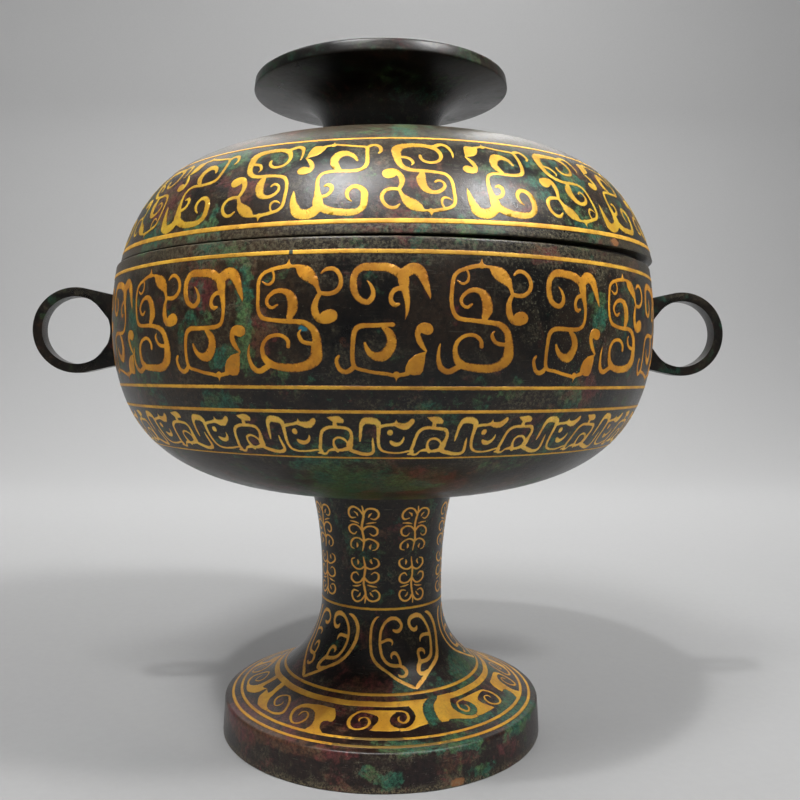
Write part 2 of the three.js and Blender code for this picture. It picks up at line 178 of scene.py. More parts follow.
class Finish:
    """A material that is put together layer by layer, over patterns in the row frame."""

    def __init__(self, name):
        self.material = bpy.data.materials.new(name)
        self.material.use_nodes = True
        self.nodes = self.material.node_tree.nodes
        self.links = self.material.node_tree.links
        self.nodes.clear()
        self.shader = self.nodes.new("ShaderNodeBsdfPrincipled")
        out = self.nodes.new("ShaderNodeOutputMaterial")
        self.links.new(self.shader.outputs["BSDF"], out.inputs["Surface"])
        self.place = self.nodes.new("ShaderNodeTexCoord").outputs["Object"]

    def put(self, source, socket):
        if isinstance(source, bpy.types.NodeSocket):
            self.links.new(source, socket)
        else:
            socket.default_value = source

    def set(self, **values):
        for name, source in values.items():
            self.put(source, self.shader.inputs[name.replace("_", " ")])

    def math(self, kind, a, b=0.0, c=0.0):
        node = self.nodes.new("ShaderNodeMath")
        node.operation = kind
        for source, socket in zip((a, b, c), node.inputs):
            self.put(source, socket)
        return node.outputs[0]

    def times(self, a, b):
        return self.math("MULTIPLY", a, b)

    def plus(self, a, b):
        return self.math("ADD", a, b)

    def most(self, a, b):
        return self.math("MAXIMUM", a, b)

    def vector(self, kind, a, b=(0, 0, 0)):
        node = self.nodes.new("ShaderNodeVectorMath")
        node.operation = kind
        self.put(a, node.inputs[0])
        self.put(b, node.inputs[1])
        return node

    def x_y_z(self):
        """The three coordinates of the place in the row frame, in metres."""
        split = self.nodes.new("ShaderNodeSeparateXYZ")
        self.links.new(self.place, split.inputs[0])
        return split.outputs

    def cloud(self, size, detail=4.0, rough=0.55, seed=0.0, where=None, warp=0.0):
        """Smooth noise whose lumps are about size millimetres wide."""
        moved = self.nodes.new("ShaderNodeMapping")
        moved.inputs["Location"].default_value = (seed * 0.37, seed * 0.61, seed * 0.23)
        self.put(where or self.place, moved.inputs["Vector"])
        noise = self.nodes.new("ShaderNodeTexNoise")
        noise.inputs["Scale"].default_value = 1 / (size * MM)
        noise.inputs["Detail"].default_value = detail
        noise.inputs["Roughness"].default_value = rough
        noise.inputs["Distortion"].default_value = warp
        self.links.new(moved.outputs[0], noise.inputs["Vector"])
        return noise.outputs["Fac"]

    def between(self, value, low, high, start=0.0, end=1.0):
        """Rises smoothly from start to end as the value goes from low to high."""
        node = self.nodes.new("ShaderNodeMapRange")
        node.interpolation_type = "SMOOTHSTEP"
        ends = {"Value": value, "From Min": low, "From Max": high, "To Min": start, "To Max": end}
        for name, source in ends.items():
            self.put(source, node.inputs[name])
        return node.outputs[0]

    def over(self, share, under, upper):
        """The upper colour laid over the one under it."""
        node = self.nodes.new("ShaderNodeMix")
        node.data_type = "RGBA"
        self.put(share, node.inputs[0])
        for source, socket in ((under, node.inputs[6]), (upper, node.inputs[7])):
            self.put((*source, 1) if isinstance(source, tuple) and len(source) == 3 else source, socket)
        return node.outputs[2]

    def coat(self, mask, strength, under, upper):
        """The upper colour laid over the other where the mask is, at the given strength."""
        return self.over(self.times(mask, strength), under, upper)

    def shaded(self, colour, value):
        """The colour made darker or lighter by the value."""
        node = self.vector("SCALE", colour)
        self.put(value, node.inputs["Scale"])
        return node.outputs[0]

    def near(self, centre, size, ragged=0.5, seed=1.0, lump=6.0):
        """A ragged patch round a centre, both in millimetres: 1 inside, 0 outside."""
        away = self.vector("SUBTRACT", self.place, [c * MM for c in centre])
        scaled = self.vector("DIVIDE", away.outputs[0], [s * MM for s in size])
        distance = self.vector("LENGTH", scaled.outputs[0]).outputs["Value"]
        wild = self.math("MULTIPLY_ADD", self.cloud(lump, seed=seed, rough=0.65), 2 * ragged, -ragged)
        return self.between(self.plus(distance, wild), 1.15, 0.75)

    def relief(self, height, depth, strength=1.0, under=None):
        bump = self.nodes.new("ShaderNodeBump")
        bump.inputs["Strength"].default_value = strength
        bump.inputs["Distance"].default_value = depth * MM
        self.put(height, bump.inputs["Height"])
        if under is not None:
            self.links.new(under, bump.inputs["Normal"])
        return bump.outputs["Normal"]

    def round_the_axis(self):
        """Coordinates for marks that run round the vessel: radius, a little of x, and height."""
        x, y, z = self.x_y_z()
        radius = self.math("SQRT", self.plus(self.times(x, x), self.times(y, y)))
        joined = self.nodes.new("ShaderNodeCombineXYZ")
        for source, socket in zip((radius, self.times(x, 0.04), z), joined.inputs):
            self.put(source, socket)
        return joined.outputs[0]


def patina(finish):
    """Masks of the green and red corrosion that lies over bronze and gold alike, and two zones:
    the middle of the main band, where the patina is thinner and both finishes paint shade, and the foot."""
    # The middle of the main band: thinner patina, and painted shade in both finishes
    calm_and_shaded = finish.near((18, -88, 136), (46, 24, 20), 0.35, 40, 12)
    across, _, height = finish.x_y_z()
    foot_zone = finish.between(height, 0.036, 0.024)
    quiet = finish.times(foot_zone, finish.between(across, 0.016, 0.004))
    grain = finish.cloud(0.9, detail=4, rough=0.8, seed=33)

    def corrosion(broad, fine, moves, low, high, patches, thin):
        """Lumps in lumps, moved up or down in some zones, then the patches, then a fine grain."""
        mixed = finish.plus(finish.times(broad, 0.62), finish.times(fine, 0.38))
        for zone, by in moves:
            mixed = finish.math("MULTIPLY_ADD", zone, by, mixed)
        mask = finish.between(mixed, low, high)
        for centre, size, ragged, seed in patches:
            mask = finish.most(mask, finish.near(centre, size, ragged, seed, 4.0))
        return finish.times(mask, finish.between(grain, *thin, 1.0))

    green = corrosion(
        finish.cloud(17, detail=7, rough=0.66, seed=3, warp=0.4),
        finish.cloud(3.2, detail=5, rough=0.65, seed=5),
        ((calm_and_shaded, -0.05), (quiet, -0.10)), 0.525, 0.61, GREEN_PATCHES, (0.38, 0.58, 0.35),
    )
    red = corrosion(
        finish.cloud(15, detail=7, rough=0.64, seed=8, warp=0.3),
        finish.cloud(3.0, detail=5, rough=0.65, seed=9),
        ((calm_and_shaded, -0.04), (foot_zone, 0.02)), 0.535, 0.62, RED_PATCHES, (0.36, 0.54, 0.6),
    )
    return green, red, calm_and_shaded, foot_zone


# Colours of the metal and of what lies on it
BLACK_BRONZE = (0.0024, 0.0021, 0.0020)
BROWN_BRONZE = (0.016, 0.0092, 0.0048)
WARM_BROWN = (0.034, 0.020, 0.009)
FOOT_BROWN = (0.0105, 0.0042, 0.0036)
MAROON = (0.090, 0.020, 0.020)
RED_BROWN = (0.075, 0.034, 0.017)
TEAL = (0.017, 0.100, 0.060)
MOSS_GREEN = (0.055, 0.118, 0.042)
# Olive dusting colour, which also paints light on the rims and the lid's top
OLIVE_DUST_AND_LIGHT = (0.132, 0.112, 0.066)
SCRATCH_GREY = (0.17, 0.16, 0.12)
VERDIGRIS_BLUE = (0.03, 0.19, 0.24)
RUST_ORANGE = (0.24, 0.10, 0.035)
PALE_SPECKLE = (0.24, 0.23, 0.18)
STRAW_SPECKS = (0.24, 0.23, 0.15)
SANDY_GRIT = (0.22, 0.18, 0.10)
WORN_COPPER = (0.30, 0.115, 0.020)
NICK_BROWN = (0.06, 0.022, 0.008)
GREEN_STAIN = (0.10, 0.12, 0.04)
RED_STAIN = (0.22, 0.06, 0.02)
LOST_GOLD = (0.010, 0.055, 0.060)
DULL_GOLD = (0.085, 0.070, 0.028)
# Painted shadow of the groove round the gold
GROOVE_SHADOW_BROWN = (0.075, 0.022, 0.006)

# Corrosion where it is plain to see: centre and half size in millimetres, raggedness, seed
GREEN_PATCHES = [
    ((-37.6, -81.7, 135), (2.2, 5, 15), 1.4, 41), ((-73, -52.4, 129), (3, 5, 14), 1.4, 42),
    ((-43, -78, 125.5), (6, 6, 3), 1.9, 43), ((-45.8, -73, 113.8), (6, 6, 3), 1.7, 44),
    ((55, -71, 138), (4.5, 6, 5), 1.7, 45), ((-42.9, -64, 178.3), (5, 6, 4), 1.4, 46),
    ((-51.8, -69.5, 159.5), (5, 6, 3), 1.7, 47), ((-67.9, -54, 158.7), (6, 6, 4), 1.7, 48),
    ((49.6, -65.7, 173.2), (5, 6, 4), 1.7, 49), ((50.9, -71.4, 161.1), (5, 5, 3), 1.7, 50),
    ((-10, -64, 92), (14, 17, 5), 1.2, 51), ((-16, -44, 85.5), (9, 18, 4), 1.4, 52),
    ((25.5, -15.6, 24), (5, 8, 5), 1.4, 53), ((6, -31.6, 22), (4, 5, 4), 1.7, 54),
    ((15, -37.3, 17), (3, 4, 4), 1.7, 55), ((-5.8, -54.1, 6.1), (2.5, 3, 2), 1.4, 56),
    ((2.6, -54.5, 4.8), (2.5, 3, 1.6), 1.4, 57), ((28.9, -46.4, 3), (4, 5, 2), 1.7, 58),
    ((31, -4, 23.5), (6, 8, 4), 1.6, 81), ((16.9, -36.9, 16.9), (7, 5, 2.5), 1.6, 82),
    ((28, -34, 15.2), (7, 6, 2.5), 1.6, 83), ((8, -51.5, 12.2), (10, 3.5, 2), 1.6, 84),
    ((25, -47, 11.8), (9, 5, 2.2), 1.6, 85), ((-0.5, -54.6, 3.8), (4, 4, 3), 1.6, 86),
    ((40, -27, 13), (6, 6, 3), 1.6, 87), ((-19, -72, 97.5), (9, 6, 3), 1.4, 88),
    ((-8, -68.5, 93.5), (9, 6, 3), 1.4, 89), ((5, -65, 90.8), (9, 6, 2.5), 1.4, 90),
    ((45, -22, 13), (8, 9, 3), 1.4, 96), ((41, -35, 11), (6, 6, 3), 1.6, 97),
]
RED_PATCHES = [
    ((-49.2, -75.2, 142.7), (5, 6, 6), 1.4, 61), ((-35, -82.7, 131.3), (5, 6, 6), 1.4, 62),
    ((38.3, -80.1, 152), (7, 6, 2.2), 1.4, 63), ((51, -70.7, 116.4), (7, 6, 4), 1.4, 64),
    ((-61.8, -55.2, 169.1), (7, 8, 9), 1.4, 65), ((-38.6, -73.9, 168.6), (5, 6, 4), 1.4, 66),
    ((5, -66, 91), (16, 14, 5), 1.4, 67), ((-42.5, -30.2, 12.2), (8, 10, 7), 1.4, 68),
    ((-27.7, -15, 22.6), (6, 8, 9), 1.4, 69), ((-45, -29, 11), (13, 14, 4.5), 1.0, 91),
    ((-33, -42, 11), (13, 8, 2.6), 1.2, 92), ((-24, -35, 16), (12, 9, 5), 1.2, 93),
    ((-5, -31, 21), (12, 8, 4), 1.2, 94), ((-19, -50, 10.8), (10, 5, 2), 1.4, 95),
]


def cast_bronze(name):
    """Near-black bronze under streaks of teal, green and maroon, with an olive dusting on it that also
    paints light on the rims and the lid's top, and painted shade on the crown, the ring handles and the
    middle of the main band.
    """
    finish = Finish(name)
    green, red, calm_and_shaded, foot_zone = patina(finish)
    across, _, height = finish.x_y_z()
    # Bands round the rims and the lid's top where the olive dusting is laid thicker; there it is partly a
    # real deposit and partly painted light from the lamps above.
    rim_zone = finish.times(
        finish.between(height, 0.1465, 0.1530), finish.between(height, 0.1600, 0.1560),
    )
    top_zone = finish.times(
        finish.between(height, 0.1790, 0.1850), finish.between(height, 0.1965, 0.1930),
    )
    dust_and_light_zone = finish.most(rim_zone, top_zone)
    # Painted shade: everything above about 194 mm, which is the crown, and the ring handles, beyond 91 mm to
    # either side, are darkened to 0.4.
    aside = finish.between(finish.math("ABSOLUTE", across), 0.0905, 0.0925)
    painted_shade_zone = finish.most(finish.between(height, 0.1925, 0.1955), aside)
    tone = finish.cloud(24, detail=6, rough=0.65, seed=2)
    colour = finish.over(finish.between(tone, 0.38, 0.62), BLACK_BRONZE, BROWN_BRONZE)
    warm = finish.near((-66, -62, 140), (48, 44, 34), 0.8, 36, 14)
    colour = finish.coat(warm, 0.5, colour, WARM_BROWN)
    colour = finish.coat(foot_zone, 0.7, colour, FOOT_BROWN)
    hue = finish.cloud(7, detail=5, rough=0.6, seed=15)
    reds = finish.over(finish.between(hue, 0.40, 0.60), MAROON, RED_BROWN)
    colour = finish.coat(red, 0.82, colour, reds)
    greens = finish.over(finish.between(hue, 0.42, 0.58), TEAL, MOSS_GREEN)
    colour = finish.coat(green, 0.82, colour, greens)
    mottle = finish.cloud(1.3, detail=6, rough=0.8, seed=6)
    colour = finish.shaded(colour, finish.between(mottle, 0.32, 0.68, 0.25, 1.9))
    # Olive dusting: partly real, and partly painted light on the rims and the lid's top
    spread = finish.plus(finish.cloud(9, detail=5, rough=0.7, seed=17), finish.times(dust_and_light_zone, 0.28))
    dust_grain = finish.between(finish.cloud(0.8, detail=5, rough=0.8, seed=18), 0.44, 0.60)
    dust_and_light = finish.times(finish.between(spread, 0.50, 0.66), dust_grain)
    colour = finish.coat(dust_and_light, 0.6, colour, OLIVE_DUST_AND_LIGHT)
    scratches = finish.between(
        finish.cloud(0.28, detail=2, seed=20, where=finish.round_the_axis()), 0.60, 0.68,
    )
    handled = finish.between(finish.cloud(3.5, detail=4, rough=0.7, seed=21), 0.50, 0.62)
    scratched = finish.times(scratches, handled)
    colour = finish.coat(scratched, 0.28, colour, SCRATCH_GREY)
    verdigris = finish.near((-22.8, -86.9, 132.4), (1.3, 2, 0.9), 0.5, 71, 1.5)
    colour = finish.coat(verdigris, 0.9, colour, VERDIGRIS_BLUE)
    rust = finish.most(
        finish.near((61.3, -64.2, 157.9), (2, 2, 1.2), 0.6, 72, 1.5),
        finish.near((20.8, -50.6, 1.4), (2.4, 2.4, 1.2), 0.6, 73, 1.5),
    )
    colour = finish.coat(rust, 0.9, colour, RUST_ORANGE)
    speckle = finish.between(finish.cloud(0.45, detail=2, seed=7), 0.69, 0.75)
    colour = finish.coat(speckle, 0.5, colour, PALE_SPECKLE)
    specks = finish.times(
        finish.between(finish.cloud(0.5, detail=2, seed=35), 0.62, 0.68),
        finish.near((52, -70, 146), (30, 30, 32), 0.6, 77, 12),
    )
    colour = finish.coat(specks, 0.55, colour, STRAW_SPECKS)
    grit = finish.times(
        finish.between(height, 0.0026, 0.0008),
        finish.between(finish.cloud(0.7, detail=4, rough=0.8, seed=34), 0.46, 0.60),
    )
    colour = finish.coat(grit, 0.6, colour, SANDY_GRIT)
    # Painted shade on the crown and the ring handles
    colour = finish.shaded(colour, finish.between(painted_shade_zone, 0, 1, 1.0, 0.4))
    # Painted shade: the middle of the main band is darkened to 0.6.
    colour = finish.shaded(colour, finish.between(calm_and_shaded, 0, 1, 1.0, 0.6))
    lathe_marks = finish.cloud(0.35, detail=3, rough=0.6, seed=4, where=finish.round_the_axis())
    skin = finish.relief(lathe_marks, 0.02, 0.35)
    skin = finish.relief(finish.cloud(9, detail=5, rough=0.55, seed=11), 0.5, 0.25, skin)
    skin = finish.relief(mottle, 0.11, 0.6, skin)
    skin = finish.relief(finish.cloud(0.45, detail=3, rough=0.7, seed=22), 0.05, 0.6, skin)
    rough = finish.between(tone, 0.3, 0.7, 0.27, 0.35)
    for duller in (green, dust_and_light):
        rough = finish.plus(rough, finish.times(duller, 0.12))
    finish.set(Base_Color=colour, Metallic=0.0, Roughness=rough, Specular_IOR_Level=0.38, Normal=skin)
    return finish.material


def gold(name, bright, deep):
    """Satin gold with dark edges painted as the shadow of its groove, small nicks, a breath of the patina
    around it, and painted shade in the middle of the main band.
    """
    finish = Finish(name)
    green, red, calm_and_shaded, _ = patina(finish)
    tone = finish.cloud(7, detail=4, rough=0.6, seed=12)
    colour = finish.over(finish.between(tone, 0.35, 0.65), deep, bright)
    worn = finish.between(finish.cloud(2.6, detail=5, rough=0.75, seed=16), 0.56, 0.72)
    colour = finish.coat(worn, 0.55, colour, WORN_COPPER)
    nicks = finish.between(finish.cloud(0.7, detail=3, rough=0.7, seed=13), 0.66, 0.71)
    colour = finish.coat(nicks, 0.8, colour, NICK_BROWN)
    colour = finish.coat(green, 0.20, colour, GREEN_STAIN)
    colour = finish.coat(red, 0.22, colour, RED_STAIN)
    lost = finish.near((-26, -85.2, 150.9), (0.5, 2, 2), 0.3, 74, 1.5)
    colour = finish.coat(lost, 0.95, colour, LOST_GOLD)
    worn_foot = finish.near((0, -51.5, 12.3), (22, 6, 2.5), 1.2, 75, 2.5)
    colour = finish.coat(worn_foot, 0.75, colour, DULL_GOLD)
    # Painted shade: the gold in the middle of the main band is darkened to 0.68.
    colour = finish.shaded(colour, finish.between(calm_and_shaded, 0, 1, 1.0, 0.68))
    # Painted shadow: a dark brown rim along the edges of the gold stands in for the shadow of the groove it
    # lies in.
    rim = finish.nodes.new("ShaderNodeAttribute")
    rim.attribute_name = "from_edge"
    ragged = finish.between(finish.cloud(0.8, seed=19), 0.3, 0.7, -0.05, 0.05)
    edge = finish.between(finish.plus(rim.outputs["Fac"], ragged), 0.03, 0.15, 1.0, 0.0)
    colour = finish.coat(edge, 0.85, colour, GROOVE_SHADOW_BROWN)
    skin = finish.relief(finish.cloud(1.5, detail=4, rough=0.6, seed=14), 0.07, 0.5)
    rough = finish.between(tone, 0.3, 0.7, 0.43, 0.53)
    finish.set(Base_Color=colour, Metallic=0.3, Roughness=rough, Normal=skin)
    return finish.material


bronze = cast_bronze("patinated_bronze")
line_gold = gold("hammered_gold_line", (0.88, 0.50, 0.055), (0.64, 0.31, 0.030))
inlay_gold = gold("hammered_gold_inlay", (0.77, 0.355, 0.024), (0.56, 0.22, 0.015))
yellow_gold = gold("hammered_yellow_gold", (0.64, 0.41, 0.032), (0.53, 0.29, 0.021))
foot_gold = gold("hammered_foot_gold", (0.69, 0.37, 0.027), (0.54, 0.255, 0.018))
belly_gold = gold("hammered_bright_gold", (1.0, 0.66, 0.120), (0.88, 0.47, 0.070))
coppery_gold = gold("hammered_pale_copper_gold", (1.0, 0.58, 0.110), (0.95, 0.48, 0.080))


# Castings

def draw_section(name, outline):
    """Draws an outline point by point in the plane that stands on the axis."""
    bpy.ops.object.select_all(action="DESELECT")
    bpy.ops.mesh.primitive_plane_add(size=MM, location=(0, 0, 0))
    piece = bpy.context.active_object
    piece.name = piece.data.name = name
    bpy.ops.object.mode_set(mode="EDIT")
    bpy.ops.mesh.select_all(action="SELECT")
    bpy.ops.mesh.merge(type="CENTER")
    bpy.ops.transform.translate(value=(outline[0][0] * MM, 0, outline[0][1] * MM))
    for (r0, z0), (r1, z1) in zip(outline, outline[1:]):
        step = ((r1 - r0) * MM, 0, (z1 - z0) * MM)
        bpy.ops.mesh.extrude_region_move(TRANSFORM_OT_translate={"value": step})
    return piece


def turn_on_the_axis(piece, turns):
    bpy.ops.mesh.select_all(action="SELECT")
    bpy.ops.mesh.spin(steps=turns, angle=2 * math.pi, center=(0, 0, 0), axis=(0, 0, 1))
    bpy.ops.mesh.select_all(action="SELECT")
    bpy.ops.mesh.remove_doubles(threshold=SAME_SPOT)
    bpy.ops.mesh.normals_make_consistent(inside=False)
    bpy.ops.object.mode_set(mode="OBJECT")


def finish_off(piece, material, body, replaced=(), place=None, sharp=35):
    """Seats a piece, smooths it, gives it its finish and hands it to the body that carries it."""
    bpy.ops.object.select_all(action="DESELECT")
    piece.select_set(True)
    bpy.context.view_layer.objects.active = piece
    if place is not None:
        piece.matrix_world = place
        bpy.ops.object.transform_apply(location=True, rotation=True, scale=True)
    bpy.ops.object.shade_smooth_by_angle(angle=math.radians(sharp))
    piece.data.materials.clear()
    piece.data.materials.append(material)
    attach(piece, body)
    if replaced:
        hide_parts(*replaced)


def casting(name, section, round_of_edges, node, body, place=None):
    piece = draw_section(name, softened(section, round_of_edges))
    turn_on_the_axis(piece, TURNS)
    finish_off(piece, bronze, body, (node,), place)


casting("foot_and_stem", FOOT_SECTION, 0.5, "stem_foot", "vessel")
casting("round_bowl", BOWL_SECTION, 0.6, "bowl", "vessel")
casting("domed_lid", LID_SECTION, 0.4, "lid", "lid", LID_PLACE)
casting("dished_crown", CROWN_SECTION, 1.2, "lid_crown", "lid", CROWN_PLACE)


RING_CENTRE = (104.8, 136.0)
RING_HOLE = 11.5
RING_WIDTH = 5.6


def ring_handle():
    """A flat ring that runs into a root on the bowl's wall, drawn in outline and pulled to its width."""
    centre_x, centre_z = RING_CENTRE
    outer, half_root, root_x, wall_x, arc_steps, root_steps = 14.6, 11.4, 88.9, 90, 72, 8
    reach = math.hypot(wall_x - centre_x, half_root)
    tangent = math.atan2(half_root, wall_x - centre_x) - math.acos(outer / reach)
    outline = []
    for i in range(arc_steps + 1):
        angle = -tangent + 2 * tangent * i / arc_steps
        outline.append((centre_x + outer * math.cos(angle), centre_z + outer * math.sin(angle)))
    for i in range(root_steps + 1):
        z = half_root - 2 * half_root * i / root_steps
        outline.append((root_x, centre_z + z))
    outline.append(outline[0])
    piece = draw_section("ring_handle_east", outline)
    bpy.ops.mesh.select_all(action="SELECT")
    bpy.ops.mesh.remove_doubles(threshold=SAME_SPOT)
    bpy.ops.mesh.select_all(action="DESELECT")
    bpy.ops.mesh.primitive_circle_add(
        vertices=len(outline) - 1, radius=RING_HOLE * MM,
        location=(centre_x * MM, 0, centre_z * MM), rotation=(math.pi / 2, 0, 0),
    )
    bpy.ops.mesh.select_all(action="SELECT")
    bpy.ops.mesh.bridge_edge_loops()
    bpy.ops.mesh.select_all(action="SELECT")
    bpy.ops.mesh.extrude_region_move(TRANSFORM_OT_translate={"value": (0, RING_WIDTH * MM, 0)})
    bpy.ops.mesh.select_all(action="SELECT")
    bpy.ops.transform.translate(value=(0, -RING_WIDTH / 2 * MM, 0))
    bpy.ops.mesh.normals_make_consistent(inside=False)
    bpy.ops.mesh.select_all(action="DESELECT")
    bpy.ops.mesh.select_mode(type="EDGE")
    bpy.ops.mesh.edges_select_sharp(sharpness=math.radians(60))
    bpy.ops.mesh.bevel(offset=1.3 * MM, segments=5, profile=0.5, clamp_overlap=True)
    bpy.ops.mesh.select_mode(type="VERT")
    bpy.ops.object.mode_set(mode="OBJECT")
    return piece


def turned_copy(piece, name, angle):
    copy = piece.copy()
    copy.data = piece.data.copy()
    copy.name = copy.data.name = name
    bpy.context.collection.objects.link(copy)
    copy.data.transform(Matrix.Rotation(angle, 4, "Z"))
    return copy


def casting_burrs(piece, centre, burrs):
    """Small nibs of metal that the casting left on the wall of the hole, as (angle, height)."""
    spread, flat_wall = 6, 2.2
    for vertex in piece.data.vertices:
        x, z = vertex.co.x / MM - centre[0], vertex.co.z / MM - centre[1]
        if math.hypot(x, z) > RING_HOLE + 0.1 or abs(vertex.co.y) > flat_wall * MM:
            continue
        for angle, height in burrs:
            off = (math.degrees(math.atan2(z, x)) - angle + 180) % 360 - 180
            if abs(off) < spread:
                nib = height * (1 - (off / spread) ** 2)
                vertex.co.x -= nib * math.cos(math.radians(angle)) * MM
                vertex.co.z -= nib * math.sin(math.radians(angle)) * MM


right_ring = ring_handle()
left_ring = turned_copy(right_ring, "ring_handle_west", math.pi)
casting_burrs(left_ring, (-RING_CENTRE[0], RING_CENTRE[1]), ((132, 1.5), (-124, 1.1)))
finish_off(right_ring, bronze, "vessel", ("ring_handle_right",), sharp=50)
finish_off(left_ring, bronze, "vessel", ("ring_handle_left",), sharp=50)


# Gold lines round the castings

def gold_line(name, side, along, width, node, body, seed, material):
    """A domed wire, a little uneven in width and height as hammered gold is."""
    shape = (
        (-0.5, BED), (0.5, BED), (0.5, EDGE_LIFT), (0.34, TOP_LIFT), (0.15, 0.075),
        (-0.15, 0.075), (-0.34, TOP_LIFT), (-0.5, EDGE_LIFT),
    )
    section = [side.section(along + across * width, lift) for across, lift in shape]
    piece = draw_section(name, section + section[:1])
    turn_on_the_axis(piece, LINE_TURNS)
    chance = random.Random(seed)
    waves = []
    for k in (2, 3, 5, 8, 13, 21, 34):
        waves.append((k, chance.uniform(0, math.tau), chance.uniform(0.3, 1) / k**0.5))
    ahead = 0.5
    middle_r, middle_z = side.section(along)
    ahead_r, ahead_z = side.section(along + ahead)
    across_r, across_z = (ahead_r - middle_r) / ahead, (ahead_z - middle_z) / ahead
    for vertex in piece.data.vertices:
        x, y, z = vertex.co / MM
        turn, radius = math.atan2(y, x), math.hypot(x, y)
        off = (radius - middle_r) * across_r + (z - middle_z) * across_z
        sway = 0.07 * sum(size * math.sin(k * turn + start) for k, start, size in waves)
        swell = 0.06 * sum(size * math.cos(k * turn + 2 * start) for k, start, size in waves)
        move = sway + off * swell
        radius += across_r * move
        vertex.co = Vector((radius * math.cos(turn), radius * math.sin(turn), z + across_z * move)) * MM
    mark = piece.data.attributes.new("from_edge", "FLOAT", "POINT")
    for vertex in piece.data.vertices:
        x, y, z = vertex.co / MM
        off = (math.hypot(x, y) - middle_r) * across_r + (z - middle_z) * across_z
        mark.data[vertex.index].value = max(0.0, 0.5 * width - abs(off))
    place = side.place if body == "lid" else None
    finish_off(piece, material, body, (node,), place, sharp=80)


waist = flare_side.to(1, 44.5)
GOLD_LINES = [
    ("foot_edge", flare_side, flare_side.to(0, 51.4), 1.1, "foot_gold_line_1"),
    ("foot_outer", flare_side, flare_side.to(0, 48.5), 1.1, "foot_gold_line_2"),
    ("foot_inner", flare_side, flare_side.to(0, 33.6), 1.1, "foot_gold_line_4"),
    ("waist", flare_side, waist, 0.9, "stem_gold_line"),
    ("rim", bowl_side, bowl_side.to(1, 151.1), 1.15, "bowl_rim_gold_line"),
    ("belly", bowl_side, bowl_side.to(1, 117.8), 1.0, "bowl_belly_gold_line"),
    ("band_top", bowl_side, bowl_side.to(1, 111.8), 1.0, "bowl_band_top_gold_line"),
    ("band_low", bowl_side, bowl_side.to(1, 99.6), 0.7, "bowl_band_low_gold_line"),
    ("lid_rim", lid_side, lid_side.to(1, 3.2), 1.4, "lid_rim_gold_line"),
    ("lid_shoulder", lid_side, lid_side.to(1, 27.0), 1.0, "lid_shoulder_gold_line"),
    ("lid_neck", lid_side, lid_side.to(0, 50.0), 0.7, "lid_neck_gold_line"),
]
for seed, (name, side, along, width, node) in enumerate(GOLD_LINES, 1):
    body = "lid" if side is lid_side else "vessel"
    material = foot_gold if name.startswith("foot") else line_gold
    gold_line("gold_line_" + name, side, along, width, node, body, seed, material)


# Gold ornament. Each motif is drawn with a brush on a grid of squares: points are (x, y, width of
# the brush) and y runs down, as on paper.

def flowing(points, step):
    """Points close together on the smooth line through the brush's points."""
    line = []
    for i in range(len(points) - 1):
        p0, p1 = points[max(i - 1, 0)], points[i]
        p2, p3 = points[i + 1], points[min(i + 2, len(points) - 1)]
        count = max(2, round(math.dist(p1[:2], p2[:2]) / step))
        for k in range(count):
            t = k / count
            line.append(tuple(
                0.5 * (
                    2 * b + (c - a) * t + (2 * a - 5 * b + 4 * c - d) * t * t
                    + (3 * b - a - 3 * c + d) * t**3
                )
                for a, b, c, d in zip(p0, p1, p2, p3)
            ))
    line.append(points[-1])
    return line


def brushed_shapes(stroke, step):
    """Small convex shapes that together cover a stroke of the brush."""
    line = flowing(stroke, step)
    left, right = [], []
    for i, (x, y, width) in enumerate(line):
        x0, y0, _ = line[max(i - 1, 0)]
        x1, y1, _ = line[min(i + 1, len(line) - 1)]
        length = math.hypot(x1 - x0, y1 - y0) or 1
        half = max(width, THINNEST_STROKE) / 2
        left.append((x - (y1 - y0) / length * half, y + (x1 - x0) / length * half))
        right.append((x + (y1 - y0) / length * half, y - (x1 - x0) / length * half))
    shapes = []
    for i in range(len(line) - 1):
        here, ahead = line[i][:2], line[i + 1][:2]
        shapes += [(left[i], left[i + 1], here), (left[i + 1], ahead, here)]
        shapes += [(right[i], right[i + 1], here), (right[i + 1], ahead, here)]
    for x, y, width in (line[0], line[-1]):
        half = max(width, THINNEST_STROKE) / 2
        corners = [k * math.pi / 6 for k in range(12)]
        shapes.append([(x + half * math.cos(a), y + half * math.sin(a)) for a in corners])
    return shapes


def area(shape):
    return sum(a[0] * b[1] - b[0] * a[1] for a, b in zip(shape, [*shape[1:], shape[0]])) / 2


def joined(shapes, cuts=(), spacing=None):
    """Joins overlapping shapes into one sheet of triangles, and takes the cuts out of it."""
    points, faces, sources = [], [], []
    for cutting, group in ((False, shapes), (True, cuts)):
        for shape in group:
            size = area(shape)
            if abs(size) < 0.5:
                continue
            start = len(points)
            points += [Vector(p) for p in (shape if size > 0 else reversed(list(shape)))]
            faces.append(list(range(start, len(points))))
            sources.append(cutting)
    if spacing:
        low_x, high_x = min(p.x for p in points), max(p.x for p in points)
        low_y, high_y = min(p.y for p in points), max(p.y for p in points)
        for i in range(int((high_x - low_x) / spacing)):
            for k in range(int((high_y - low_y) / spacing)):
                row = k + 0.5 + 0.5 * (i % 2)
                points.append(Vector((low_x + (i + 0.5) * spacing, low_y + row * spacing)))
    spots, _, triangles, _, _, origins = delaunay_2d_cdt(points, [], faces, 0, 1e-3, True)
    kept = [t for t, found in zip(triangles, origins) if found and not any(sources[f] for f in found)]
    used = sorted({i for t in kept for i in t})
    number = {old: new for new, old in enumerate(used)}
    return [tuple(spots[i]) for i in used], [tuple(number[i] for i in t) for t in kept]


def drawn(strokes, fields=(), cuts=(), step=12, spacing=None, weight=1.0):
    strokes = [[(x, y, width * weight) for x, y, width in stroke] for stroke in strokes]
    shapes = [shape for stroke in strokes for shape in brushed_shapes(stroke, step)]
    taken = [shape for stroke in cuts for shape in brushed_shapes(stroke, step * 2)]
    return joined(shapes + [list(f) for f in fields], taken, spacing)


